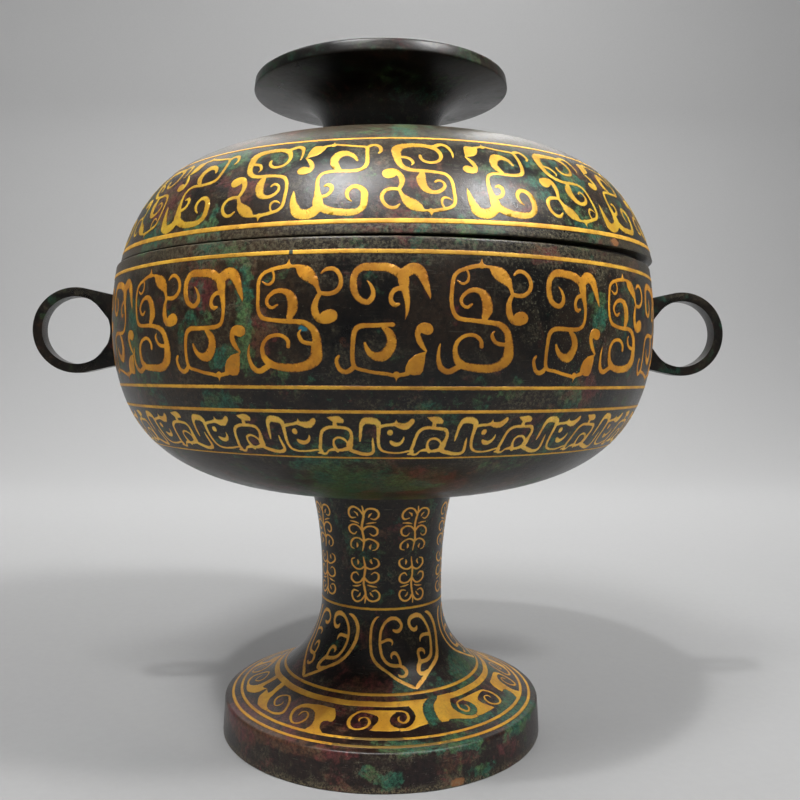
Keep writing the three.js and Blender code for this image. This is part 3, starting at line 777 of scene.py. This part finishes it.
def laid(name, side, copies, squares, material, body, replaced=()):
    """Lays sheets of gold on a casting, flat with soft edges and sunk in a bed.

    Each copy is (sheet, where), and where turns a point of the grid into a distance along the
    outline and a turn."""
    corners, faces, from_edge = [], [], []
    for (spots, triangles), where in copies:
        sides = {}
        for t in triangles:
            for a, b in zip(t, (t[1], t[2], t[0])):
                sides[(a, b)] = t
        border = [(a, b) for a, b in sides if (b, a) not in sides]
        rim = kdtree.KDTree(2 * len(border))
        for i, (a, b) in enumerate(border):
            (ax, ay), (bx, by) = spots[a], spots[b]
            rim.insert((ax, ay, 0), 2 * i)
            rim.insert(((ax + bx) / 2, (ay + by) / 2, 0), 2 * i + 1)
        rim.balance()
        start = len(corners)
        count = len(spots)
        middle = spots[triangles[0][0]]
        along, turn = where(*middle)
        outward = side.spot(along, turn, 1) - side.spot(along, turn)
        tops, beds = [], []
        for x, y in spots:
            away = rim.find((x, y, 0))[2] / squares
            share = min(away / EDGE_ROUND, 1)
            along, turn = where(x, y)
            lift = EDGE_LIFT + (TOP_LIFT - EDGE_LIFT) * share * (2 - share)
            tops.append(side.spot(along, turn, lift))
            beds.append(side.spot(along, turn, BED))
            from_edge.append(min(away, 0.5))
        from_edge += [0.0] * count
        corners += tops + beds
        a, b, c = (tops[i] for i in triangles[0])
        facing = (b - a).cross(c - a).dot(outward) > 0
        for t in triangles:
            a, b, c = t if facing else t[::-1]
            faces.append((start + a, start + b, start + c))
            faces.append((start + count + c, start + count + b, start + count + a))
        for a, b in border:
            if not facing:
                a, b = b, a
            faces.append((start + b, start + a, start + count + a, start + count + b))
    mesh = bpy.data.meshes.new(name)
    mesh.from_pydata(corners, [], faces)
    mesh.attributes.new("from_edge", "FLOAT", "POINT").data.foreach_set("value", from_edge)
    piece = bpy.data.objects.new(name, mesh)
    bpy.context.collection.objects.link(piece)
    finish_off(piece, material, body, replaced, sharp=60)


def by_hand(chance, squares, middle, looseness=1.0):
    """Moves the points of one copy a little, so that no two copies are quite the same."""
    angle = math.radians(chance.uniform(-0.6, 0.6) * looseness)
    size_x, size_y = (1 + chance.uniform(-0.015, 0.015) * looseness for _ in range(2))
    off_x, off_y = (chance.uniform(-0.15, 0.15) * squares * looseness for _ in range(2))
    starts = [chance.uniform(0, math.tau) for _ in range(4)]
    swing = 0.10 * squares * looseness
    length = 9.0 * squares

    def wave(distance, pitch, start):
        return math.sin(distance / length * pitch + start)

    def moved(x, y):
        dx, dy = (x - middle[0]) * size_x, (y - middle[1]) * size_y
        dx, dy = (
            dx * math.cos(angle) - dy * math.sin(angle), dx * math.sin(angle) + dy * math.cos(angle),
        )
        dx += swing * wave(dy, math.tau, starts[0]) + 0.6 * swing * wave(dx, 5, starts[1])
        dy += swing * wave(dx, math.tau, starts[2]) + 0.6 * swing * wave(dy, 5, starts[3])
        return middle[0] + dx + off_x, middle[1] + dy + off_y

    return moved


# The tall bird scroll, of which twelve pairs stand round the bowl and hang round the lid
SCROLL_LONG = [
    [(472, 98, 2), (472, 120, 16), (470, 150, 44)],
    [(474, 150, 34), (430, 158, 30), (390, 168, 30), (345, 182, 28), (300, 200, 28), (268, 235, 28),
     (254, 290, 28), (252, 360, 28), (254, 430, 28), (264, 490, 30), (290, 532, 34), (340, 550, 32),
     (410, 556, 32), (480, 558, 36), (550, 564, 36), (610, 584, 44), (655, 625, 50), (678, 690, 58),
     (680, 760, 72), (670, 830, 80), (620, 880, 70), (550, 898, 62), (470, 900, 58), (400, 896, 54),
     (345, 884, 50)],
    [(345, 880, 50), (305, 850, 50), (286, 800, 38), (286, 750, 32), (305, 705, 30), (345, 672, 30),
     (400, 660, 30), (445, 672, 30), (474, 705, 30), (476, 744, 28)],
    [(335, 882, 40), (295, 905, 44), (245, 926, 42), (200, 905, 40), (178, 865, 34), (170, 810, 24),
     (176, 760, 18), (184, 728, 7)],
    [(655, 728, 30), (615, 724, 32), (578, 708, 30), (556, 675, 28), (550, 645, 22), (566, 624, 10)],
    [(352, 180, 18), (368, 205, 18), (372, 235, 18), (362, 268, 22), (335, 288, 22), (308, 280, 18),
     (286, 262, 8)],
    [(482, 552, 32), (492, 520, 50), (510, 470, 72), (506, 410, 70), (478, 355, 58), (430, 332, 40),
     (380, 340, 34), (340, 370, 30), (320, 410, 26), (335, 450, 24), (366, 463, 26), (398, 442, 18)],
    [(474, 150, 34), (505, 154, 22), (535, 158, 30), (570, 185, 78), (610, 215, 96), (650, 255, 76),
     (676, 300, 36), (694, 350, 28)],
    [(694, 352, 30), (745, 358, 34), (795, 348, 34), (832, 312, 33), (843, 262, 31), (828, 212, 31),
     (790, 178, 30), (745, 178, 28), (710, 208, 14)],
    [(700, 352, 30), (678, 400, 34), (668, 450, 44), (674, 505, 52), (705, 546, 56), (755, 540, 70)],
    [(750, 528, 90), (775, 520, 92)],
]
SCROLL_SHORT = [
    [(1042, 262, 10), (1068, 290, 24), (1084, 335, 32), (1075, 380, 38), (1040, 412, 40), (995, 405, 42),
     (958, 372, 46), (942, 320, 52), (942, 260, 50), (955, 205, 52), (990, 168, 52), (1040, 156, 58),
     (1110, 156, 60), (1175, 162, 62), (1230, 182, 66), (1280, 215, 66), (1305, 250, 66)],
    [(1300, 190, 50), (1305, 250, 80), (1312, 320, 62), (1324, 390, 44), (1330, 450, 34), (1326, 510, 30),
     (1304, 556, 30), (1262, 578, 32), (1226, 583, 34)],
    [(1305, 215, 70), (1345, 178, 84), (1395, 170, 82), (1438, 208, 74), (1464, 265, 58), (1482, 325, 40),
     (1494, 370, 20), (1498, 398, 3)],
    [(1290, 318, 36), (1252, 325, 34), (1222, 350, 32), (1208, 388, 32), (1216, 422, 34), (1242, 438, 34),
     (1266, 430, 20)],
    [(1226, 583, 34), (1180, 582, 32), (1120, 582, 34), (1050, 584, 36), (990, 592, 38), (952, 618, 38),
     (934, 670, 36), (930, 740, 34), (930, 810, 33), (934, 870, 34), (960, 900, 28), (1030, 914, 27),
     (1110, 928, 27), (1180, 940, 28), (1230, 952, 28), (1290, 944, 30), (1335, 930, 36)],
    [(1250, 948, 52), (1250, 970, 20), (1248, 1003, 2)],
    [(1474, 772, 16), (1448, 742, 30), (1420, 700, 42), (1404, 650, 42), (1424, 605, 52), (1460, 600, 66)],
    [(1455, 608, 80), (1478, 614, 86)],
    [(1160, 604, 30), (1192, 636, 56), (1214, 690, 64), (1205, 752, 74), (1165, 800, 78), (1112, 806, 62),
     (1064, 784, 46), (1034, 748, 34), (1018, 712, 20)],
    [(938, 880, 30), (912, 908, 40), (872, 922, 36), (836, 904, 36), (817, 865, 32), (814, 828, 28),
     (832, 800, 20)],
]
SCROLL_SHORT_LEAF = [
    (1310, 930), (1318, 880), (1345, 830), (1390, 795), (1440, 780), (1482, 772), (1470, 800),
    (1462, 870), (1450, 920), (1430, 945), (1380, 948),
]
# One copy at the front has its stem broken off to a spike
BROKEN_STEM = [
    (1300, 190, 50), (1305, 250, 80), (1312, 320, 62), (1324, 390, 44), (1328, 450, 32), (1326, 495, 20),
    (1316, 540, 4),
]
BROKEN_AT = -1.6

# The turns at which the copies stand by an even spacing: how far off they are, in degrees
SCROLL_SLIPS = {
    -31.6: -1.1, -16.6: 0.0, -1.6: -0.55, 13.4: 0.85, 28.4: 2.0, 43.4: 3.0, 58.4: 3.2, 73.4: 2.5,
}
PAIRS = 12


def turns_of_copies(first):
    """The turns, in degrees from -180 to 180, of copies that stand evenly round the vessel."""
    return [round((first + 360 / PAIRS * k + 180) % 360 - 180, 1) for k in range(PAIRS)]


def bowl_scrolls():
    chance = random.Random(21)
    brush = {"step": 15, "spacing": 20, "weight": 1.07}
    long_sheet = drawn(SCROLL_LONG, **brush)
    short_sheet = drawn(SCROLL_SHORT, [SCROLL_SHORT_LEAF], **brush)
    broken_sheet = drawn(
        [SCROLL_SHORT[0], BROKEN_STEM, *SCROLL_SHORT[2:]], [SCROLL_SHORT_LEAF], **brush,
    )
    copies = []
    for usual_sheet, middle, first, squares, top in (
        (short_sheet, 1155, -1.6, 30.0, 152.4), (long_sheet, 500, 13.4, 27.5, 152.85),
    ):
        for turn in turns_of_copies(first):
            under_a_handle = abs(abs(turn) - 90) < 8
            if under_a_handle:
                continue
            sheet = broken_sheet if turn == BROKEN_AT else usual_sheet
            loose = by_hand(chance, 30, (middle, 550))
            seat = (turn + SCROLL_SLIPS.get(turn, 0), middle, squares, top)

            def where(x, y, seat=seat, loose=loose):
                turn, middle, squares, top = seat
                x, y = loose(x, y)
                along = bowl_side.to(1, top - y / 30.05)
                return along, math.radians(turn) + (x - middle) / squares / 90

            copies.append((sheet, where))
    laid("bowl_scroll_inlay", bowl_side, copies, 30, inlay_gold, "vessel")


# On the lid a copy can lean, so each has a slip at its foot and one at its head
LID_SLIPS = {-25.6: (0.9, 0.1), 4.4: (0.2, -1.3), 34.4: (0.5, -1.6)}
# On the lid the short scroll's spike spreads wider
LID_SPIKE = [
    (1305, 215, 70), (1350, 170, 84), (1410, 150, 88), (1470, 172, 84), (1500, 240, 62), (1514, 310, 42),
    (1520, 365, 22), (1524, 400, 3),
]


def lid_scrolls():
    chance = random.Random(22)
    brush = {"step": 16, "spacing": 22, "weight": 1.14}
    long_sheet = drawn(SCROLL_LONG, **brush)
    short_sheet = drawn(
        [*SCROLL_SHORT[:2], LID_SPIKE, *SCROLL_SHORT[3:]], [SCROLL_SHORT_LEAF], **brush,
    )
    degrees_per_square = 0.02122
    copies = []
    for sheet, middle, first, ends in (
        (long_sheet, 500, 4.4, (98, 4.3, 947, 29.5)), (short_sheet, 1155, -10.6, (128, 4.9, 1003, 30.3)),
    ):
        for turn in turns_of_copies(first):
            loose = by_hand(chance, 30, (middle, 550))
            seat = (turn, middle, LID_SLIPS.get(turn, (0, 0)), ends)

            def where(x, y, seat=seat, loose=loose):
                turn, middle, (foot_slip, head_slip), (foot_y, foot_at, head_y, head_at) = seat
                x, y = loose(x, y)
                share = (y - foot_y) / (head_y - foot_y)
                slip = foot_slip + (head_slip - foot_slip) * share
                turned = math.radians(turn + slip - (x - middle) * degrees_per_square)
                return foot_at + share * (head_at - foot_at), turned

            copies.append((sheet, where))
    laid("lid_scroll_inlay", lid_side, copies, 30, yellow_gold, "lid")


# The running cloud scroll between the two lines under the belly
CLOUD_SCROLL = [
    [(410, 470, 20), (415, 420, 34), (422, 350, 36), (435, 290, 46), (470, 250, 60), (520, 245, 66),
     (580, 250, 64), (620, 275, 60), (628, 320, 50), (625, 400, 40), (628, 480, 38), (645, 550, 36),
     (680, 590, 32), (740, 612, 28), (820, 618, 26), (900, 612, 26), (970, 595, 26), (1010, 588, 26),
     (1040, 600, 30)],
    [(640, 310, 36), (700, 298, 32), (760, 292, 32), (810, 285, 38), (850, 290, 50), (900, 300, 62),
     (950, 295, 66), (990, 270, 60), (1015, 245, 50)],
    [(828, 275, 44), (828, 255, 24), (828, 232, 3)],
    [(756, 374, 60), (760, 374, 60)],
    [(775, 475, 34), (800, 495, 50), (840, 505, 50), (880, 495, 44), (910, 470, 34), (925, 435, 26),
     (925, 410, 10)],
    [(1000, 630, 20), (1050, 615, 50), (1040, 570, 44), (1055, 500, 40), (1068, 430, 38), (1090, 370, 38),
     (1130, 335, 36), (1190, 318, 34), (1270, 318, 34), (1340, 322, 34), (1400, 330, 36), (1435, 365, 38),
     (1440, 420, 40), (1425, 480, 60), (1415, 530, 72), (1400, 560, 60)],
    [(1060, 635, 36), (1105, 635, 30), (1140, 600, 24), (1160, 590, 30), (1215, 580, 40), (1290, 590, 36),
     (1350, 580, 44), (1400, 560, 60)],
    [(1262, 310, 50), (1264, 270, 44), (1270, 240, 60)],
    [(1180, 212, 6), (1215, 222, 34), (1265, 235, 64), (1315, 238, 66), (1345, 248, 50)],
    [(1260, 600, 44), (1236, 560, 44), (1222, 510, 32), (1230, 460, 28), (1275, 434, 28), (1330, 440, 28),
     (1372, 468, 28), (1388, 498, 24), (1372, 532, 8)],
    [(1400, 560, 60), (1440, 590, 50), (1500, 610, 50), (1550, 625, 50), (1620, 635, 44), (1680, 625, 44),
     (1708, 590, 40), (1705, 530, 36), (1697, 470, 28), (1695, 432, 16)],
]


def belly_scrolls():
    chance = random.Random(23)
    sheet = drawn(CLOUD_SCROLL, step=20, spacing=22, weight=1.16)
    top, low = bowl_side.to(1, 111.8), bowl_side.to(1, 99.6)
    units, unit_width, first_y, height = 21, 1150, 155, 535
    copies = []
    for k in range(units):
        loose = by_hand(chance, 50, (900, 430), 0.8)

        def where(x, y, turn=-0.85 + k * 360 / units, loose=loose):
            x, y = loose(x, y)
            turned = math.radians(turn + (x - 758) * 360 / units / unit_width)
            return top + (y - first_y) / height * (low - top), turned

        copies.append((sheet, where))
    laid("belly_scroll_inlay", bowl_side, copies, 50, belly_gold, "vessel")


# Hanging leaves under the waist: a pointed heart of two outer lines with a scroll in each half
LEAF = [
    [(275, 65, 6), (240, 72, 22), (205, 95, 36), (170, 140, 42), (145, 200, 44), (133, 260, 46),
     (130, 330, 48), (138, 400, 46), (155, 470, 46), (180, 540, 44), (215, 600, 42), (265, 655, 42),
     (320, 700, 40), (370, 735, 38), (440, 780, 36), (520, 835, 38), (600, 885, 40), (680, 935, 42),
     (735, 975, 44), (758, 992, 30)],
    [(1200, 60, 10), (1250, 65, 36), (1310, 90, 52), (1365, 135, 60), (1405, 190, 66), (1428, 250, 70),
     (1430, 310, 70), (1415, 380, 66), (1385, 450, 60), (1345, 520, 56), (1300, 590, 54), (1240, 655, 54),
     (1165, 715, 50), (1080, 765, 46), (1000, 815, 48), (920, 875, 50), (850, 930, 50), (800, 975, 48),
     (782, 995, 36)],
    [(530, 245, 34), (570, 255, 44), (620, 255, 50), (665, 230, 50), (685, 190, 48), (670, 150, 46),
     (620, 105, 46), (560, 88, 46), (500, 90, 50), (430, 115, 48), (370, 160, 46), (325, 220, 46),
     (300, 280, 46), (292, 340, 44), (293, 400, 44), (308, 460, 44), (325, 520, 42), (352, 580, 42),
     (395, 635, 42), (450, 672, 44), (520, 685, 46), (580, 685, 46), (615, 690, 36)],
    [(300, 395, 40), (350, 385, 38), (400, 370, 38), (450, 365, 38), (490, 375, 36), (505, 400, 30),
     (495, 430, 12)],
    [(490, 595, 12), (482, 565, 30), (500, 535, 40), (540, 522, 44), (575, 540, 44), (600, 580, 38),
     (612, 630, 38), (615, 680, 40)],
    [(600, 690, 36), (640, 705, 42), (675, 740, 48), (690, 785, 48), (665, 820, 44), (625, 828, 36),
     (590, 815, 28), (575, 795, 12)],
    [(990, 225, 30), (970, 250, 50), (920, 260, 54), (870, 240, 54), (838, 200, 56), (832, 150, 60),
     (860, 105, 60), (920, 80, 60), (990, 75, 60), (1060, 90, 56), (1120, 120, 52), (1180, 175, 50),
     (1225, 240, 50), (1245, 300, 50), (1250, 360, 50), (1240, 430, 48), (1215, 500, 48), (1185, 560, 48),
     (1145, 615, 48), (1085, 650, 50), (1010, 665, 50), (940, 665, 56)],
    [(1240, 355, 50), (1180, 350, 44), (1110, 350, 44), (1050, 358, 44), (1020, 385, 36), (1010, 420, 14)],
    [(1040, 580, 14), (1050, 550, 40), (1020, 520, 46), (970, 515, 48), (935, 540, 48), (925, 590, 46),
     (925, 640, 50), (910, 680, 60), (880, 720, 60), (865, 770, 60), (880, 810, 56), (930, 820, 50),
     (970, 805, 40), (1000, 785, 14)],
]


def hanging_leaves():
    chance = random.Random(24)
    sheet = drawn(LEAF, step=18, spacing=18, weight=1.12)
    copies = []
    for k in range(5):
        loose = by_hand(chance, 40, (770, 500), 0.8)

        def where(x, y, turn=19.8 + 72 * k, width=0.88 if k == 4 else 0.965, loose=loose):
            x, y = loose(x, y)
            low = (y / 1000) ** 2
            y *= 0.985 if width < 0.9 else 1.0
            turned = math.radians(turn + (x - 770 - 48 * low) / 20 * width)
            return waist - (y + 30 + 30 * low) / 40, turned

        copies.append((sheet, where))
    laid("hanging_leaf_inlay", flare_side, copies, 40, coppery_gold, "vessel")


# The broad cloud band of the foot: one quarter, with its fields and the thin spirals in them
QUARTER_FIELDS = [
    [(125, 475), (150, 495), (185, 520), (225, 535), (245, 515), (325, 440), (335, 530), (355, 615),
     (400, 705), (450, 770), (500, 800), (500, 860), (440, 870), (400, 872), (310, 860), (250, 805),
     (190, 730), (165, 665), (150, 560), (132, 500)],
    [(850, 365), (900, 334), (1000, 308), (1100, 296), (1200, 296), (1245, 308), (1262, 362), (1283, 432),
     (1292, 535), (1284, 620), (1255, 632), (1222, 622), (1190, 648), (1175, 700), (1180, 780), (1200, 850),
     (1235, 920), (1262, 985), (1030, 985), (1060, 920), (1082, 850), (1090, 780), (1085, 680), (1065, 576),
     (1038, 492), (1000, 441), (950, 421), (900, 431), (860, 461)],
    [(1488, 330), (1548, 285), (1648, 272), (1748, 266), (1848, 266), (1938, 272), (1938, 330), (1898, 380),
     (1873, 440), (1860, 520), (1873, 600), (1908, 670), (1948, 705), (1948, 760), (1868, 775), (1768, 775),
     (1688, 770), (1660, 765), (1683, 700), (1708, 620), (1730, 560), (1741, 510), (1744, 450), (1728, 410),
     (1693, 380), (1648, 355), (1598, 335), (1548, 330), (1503, 350)],
    [(2048, 62), (2248, 62), (2378, 75), (2352, 160), (2330, 230), (2290, 320), (2266, 400), (2263, 480),
     (2270, 560), (2283, 620), (2268, 650), (2208, 670), (2148, 700), (2098, 740), (2038, 775), (1948, 785),
     (1948, 705), (2008, 705), (2058, 660), (2093, 600), (2123, 520), (2143, 430), (2138, 330), (2116, 250),
     (2098, 205), (2098, 165), (2048, 160)],
]
QUARTER_STROKES = [
    [(270, 130, 110), (270, 230, 110), (275, 340, 100), (285, 450, 90), (290, 540, 110)],
    [(510, 830, 60), (550, 830, 52), (610, 822, 60), (670, 775, 54), (695, 710, 42), (685, 605, 38),
     (660, 500, 40), (620, 405, 44), (560, 335, 40), (500, 360, 36), (455, 412, 36), (435, 472, 36),
     (440, 545, 36), (470, 605, 34), (520, 655, 32), (560, 620, 26), (578, 560, 22), (570, 505, 14),
     (552, 488, 5)],
    [(888, 653, 10), (893, 593, 26), (903, 543, 28), (938, 518, 30), (968, 543, 30), (993, 606, 30),
     (998, 678, 30), (983, 760, 34), (953, 828, 40), (908, 856, 44), (858, 813, 40), (823, 740, 40),
     (803, 668, 40), (793, 586, 44), (803, 503, 56), (838, 423, 70), (888, 373, 80), (958, 353, 90),
     (1038, 346, 110), (1108, 348, 120)],
    [(1548, 550, 10), (1546, 500, 24), (1563, 465, 28), (1598, 445, 30), (1633, 470, 32), (1653, 530, 34),
     (1653, 600, 36), (1633, 670, 38), (1588, 725, 44), (1538, 745, 46), (1488, 720, 46), (1458, 660, 44),
     (1443, 580, 42), (1446, 500, 42), (1463, 430, 42), (1493, 370, 40), (1538, 320, 40), (1588, 295, 40)],
    [(1888, 290, 46), (1948, 290, 44), (2008, 300, 40), (2048, 335, 34), (2063, 400, 34), (2063, 470, 36),
     (2043, 530, 44), (2013, 580, 46), (1988, 570, 44), (1960, 535, 34), (1953, 480, 28), (1960, 440, 22),
     (1978, 410, 8)],
]
GAP = [
    (146, 40, 90), (120, 90, 110), (26, 200, 130), (-9, 350, 130), (-14, 500, 130), (-9, 620, 130),
    (6, 760, 140),
]
SQUARES_PER_DEGREE = 24.7
QUARTER = SQUARES_PER_DEGREE * 90
MEETING = 2352  # where two mirrored quarters meet, and the band starts and ends


def foot_clouds():
    """The band starts and ends in the slanted gap at the front right, and its quarters mirror each other."""
    chance = random.Random(25)
    strokes, fields = [], []
    for k in range(4):

        def seat(x, k=k):
            inside = MEETING - x + (50 if k == 0 else 0)
            return MEETING + (k + 1) * QUARTER - inside if k % 2 else MEETING + k * QUARTER + inside

        fields += [[(seat(x), y) for x, y in field] for field in QUARTER_FIELDS]
        strokes += [[(seat(x), y, width) for x, y, width in stroke] for stroke in QUARTER_STROKES]
    end = MEETING + 4 * QUARTER
    pieces = 180
    strip = [(MEETING + (end - MEETING) * i / pieces, 66) for i in range(pieces + 1)]
    strip += [(x, 195) for x, _ in reversed(strip)]
    fields.append([
        (MEETING - 40, 66), (MEETING + 170, 66), (MEETING + 170, 600), (MEETING + 110, 690),
        (MEETING - 40, 660),
    ])
    places = (MEETING - 30, MEETING + 2 * QUARTER, end - 30)
    cuts = [[(x + middle, y, width) for x, y, width in GAP] for middle in places]
    sheet = drawn(strokes, fields + [strip], cuts, step=26, spacing=30)
    outer = flare_side.to(0, 48.5)
    waves = [(k, chance.uniform(0, math.tau)) for k in (3, 7, 12, 19)]

    def where(x, y):
        turn = math.radians(21.3 + (x - MEETING) / SQUARES_PER_DEGREE)
        y += sum(3.0 * math.sin(k * turn + start) for k, start in waves)
        return outer + (970 - y) / 62.9, turn

    copies = [(sheet, where)]
    laid("foot_cloud_inlay", flare_side, copies, 55, foot_gold, "vessel", ("foot_gold_line_3",))


# Small scrolls on the stem, two to a column, one square to a tenth of a millimetre
STEM_SCROLL = [
    [(1, 4, 5), (2, 34, 9), (-1, 76, 9), (1, 120, 9), (-1, 154, 5)],
    [(0, 31, 8), (-11, 14, 8), (-26, 9, 9), (-38, 18, 9), (-41, 34, 8), (-33, 46, 8), (-20, 44, 5)],
    [(2, 29, 8), (12, 13, 8), (27, 10, 9), (38, 19, 9), (40, 35, 8), (32, 46, 8), (21, 43, 5)],
    [(-24, 24, 4), (-17, 30, 8), (-14, 38, 4)],
    [(23, 25, 4), (18, 31, 8), (15, 39, 4)],
    [(-1, 87, 9), (-12, 73, 8), (-28, 70, 8), (-40, 80, 9), (-38, 96, 8), (-26, 102, 7), (-18, 94, 4)],
    [(1, 85, 9), (13, 72, 8), (28, 71, 8), (39, 81, 9), (38, 97, 8), (27, 102, 7), (19, 95, 4)],
    [(-36, 58, 4), (-22, 60, 8), (-10, 64, 4)],
    [(35, 57, 4), (21, 59, 8), (10, 63, 4)],
    [(0, 123, 9), (-13, 114, 8), (-28, 116, 8), (-39, 128, 9), (-38, 144, 7), (-28, 150, 5)],
    [(1, 121, 9), (14, 113, 8), (28, 117, 8), (39, 129, 9), (37, 145, 7), (27, 150, 5)],
    [(-20, 130, 5), (-18, 138, 9), (-19, 145, 4)],
    [(21, 131, 5), (18, 139, 9), (20, 146, 4)],
]


def stem_scrolls():
    chance = random.Random(26)
    sheet = drawn(STEM_SCROLL, step=4, weight=0.85)
    copies = []
    for column in range(8):
        for top, flip in ((79.0, 1), (62.0, -1)):
            loose = by_hand(chance, 10, (0, 79), 1.5)

            def where(x, y, turn=-18.2 + 45 * column, top=top, flip=flip, loose=loose):
                x, y = loose(x, y)
                y = y if flip > 0 else 158 - y
                return flare_side.to(1, top - y / 9.9), math.radians(turn) + x / 8.5 / 21.4

            copies.append((sheet, where))
    laid("stem_scroll_inlay", flare_side, copies, 10, coppery_gold, "vessel")


bowl_scrolls()
lid_scrolls()
belly_scrolls()
hanging_leaves()
foot_clouds()
stem_scrolls()

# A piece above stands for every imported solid, and the solids under them take the same finishes
for node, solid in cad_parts.items():
    solid.data.materials.clear()
    solid.data.materials.append(line_gold if "gold" in node else bronze)


# Studio

def paper_sweep():
    """A pale sheet that runs from the floor up behind the vessel, with light and shade painted on it: darker
    near the camera, lighter further back and up the wall.
    """
    finish = Finish("pale_studio_paper")
    _, depth, height = finish.x_y_z()
    grain = finish.cloud(3, detail=3, seed=31)
    # Painted light and shade: the sheet's grey rises from near the camera to the back and up the wall.
    near_grey, far_grey, wall_grey = (0.285,) * 3, (0.58,) * 3, (0.80,) * 3
    colour = finish.over(finish.between(depth, -0.05, 0.6), near_grey, far_grey)
    colour = finish.over(finish.between(height, 0.1, 0.9), colour, wall_grey)
    colour = finish.shaded(colour, finish.between(grain, 0.3, 0.7, 0.99, 1.01))
    finish.set(Base_Color=colour, Roughness=0.9)
    bpy.ops.object.select_all(action="DESELECT")
    bpy.ops.mesh.primitive_plane_add(size=0.02, location=(0, 0, 0))
    sweep = bpy.context.active_object
    sweep.name = "paper_sweep"
    bpy.ops.object.mode_set(mode="EDIT")
    bpy.ops.mesh.select_all(action="SELECT")
    bpy.ops.mesh.merge(type="CENTER")
    rise = bend((0.7, 0.0), (1.35, 0.0), (1.5, 0.5), (1.5, 1.2), steps=24)
    outline = [(-1.4, 0.0)] + rise + [(1.5, 2.6)]
    width = 5
    bpy.ops.transform.translate(value=(-width / 2, outline[0][0], outline[0][1]))
    for (y0, z0), (y1, z1) in zip(outline, outline[1:]):
        bpy.ops.mesh.extrude_region_move(TRANSFORM_OT_translate={"value": (0, y1 - y0, z1 - z0)})
    bpy.ops.mesh.select_all(action="SELECT")
    bpy.ops.mesh.extrude_region_move(TRANSFORM_OT_translate={"value": (width, 0, 0)})
    bpy.ops.mesh.select_all(action="SELECT")
    bpy.ops.mesh.normals_make_consistent(inside=False)
    bpy.ops.object.mode_set(mode="OBJECT")
    bpy.ops.object.shade_smooth_by_angle(angle=math.radians(40))
    sweep.data.materials.append(finish.material)


def softbox(name, place, size, power, aim=(0, 0, 0.12)):
    """A lamp that shines from its place, in metres, at the vessel."""
    light = bpy.data.lights.new(name, "AREA")
    light.shape = "RECTANGLE"
    light.size, light.size_y = size
    light.energy = power
    lamp = bpy.data.objects.new(name, light)
    bpy.context.collection.objects.link(lamp)
    lamp.location = place
    lamp.rotation_euler = (Vector(aim) - lamp.location).to_track_quat("-Z", "Y").to_euler()


def studio():
    paper_sweep()
    softbox("ceiling_lamp", (-0.440, -0.690, 1.960), (0.10, 0.10), 13.5)
    softbox("near_lamp_left", (-0.139, -0.280, 0.611), (0.12, 0.15), 2.5)
    softbox("near_lamp_right", (0.290, -0.267, 0.580), (0.08, 0.08), 3.2)
    softbox("side_glint", (-0.390, -0.026, 0.655), (0.06, 0.06), 0.15)
    softbox("front_fill", (0.1, -1.1, 1.15), (1.4, 0.9), 1.3)
    softbox("back_softbox", (0, 0.95, 1.15), (1.4, 0.6), 7)
    softbox("far_floor_lamp", (0.25, 1.6, 1.5), (0.6, 0.6), 12, (0.2, 1.15, 0))
    world = bpy.data.worlds.new("studio_air")
    world.use_nodes = True
    world.node_tree.nodes["Background"].inputs["Color"].default_value = (1, 1, 1, 1)
    world.node_tree.nodes["Background"].inputs["Strength"].default_value = 0.14
    bpy.context.scene.world = world
    bpy.context.scene.view_settings.view_transform = "Standard"


def camera():
    """The camera, at the place and angle of the photo: turned a little, tipped down and rolled."""
    eye_place = (-0.011275, -0.293484, 0.1206)
    turned, tipped_down, rolled = -2.2, 1.59, 0.27
    lens = bpy.data.cameras.new("photo_camera")
    lens.sensor_width = 36
    lens.lens = 37.78
    lens.shift_x = 0.0219
    lens.clip_start = 0.01
    eye = bpy.data.objects.new("photo_camera", lens)
    bpy.context.collection.objects.link(eye)
    turn = (
        Matrix.Rotation(math.radians(turned), 4, "Z")
        @ Matrix.Rotation(math.radians(90 - tipped_down), 4, "X")
    )
    roll = Matrix.Rotation(math.radians(rolled), 4, "Z")
    eye.matrix_world = Matrix.Translation(eye_place) @ turn @ roll
    bpy.context.scene.camera = eye


studio()
camera()
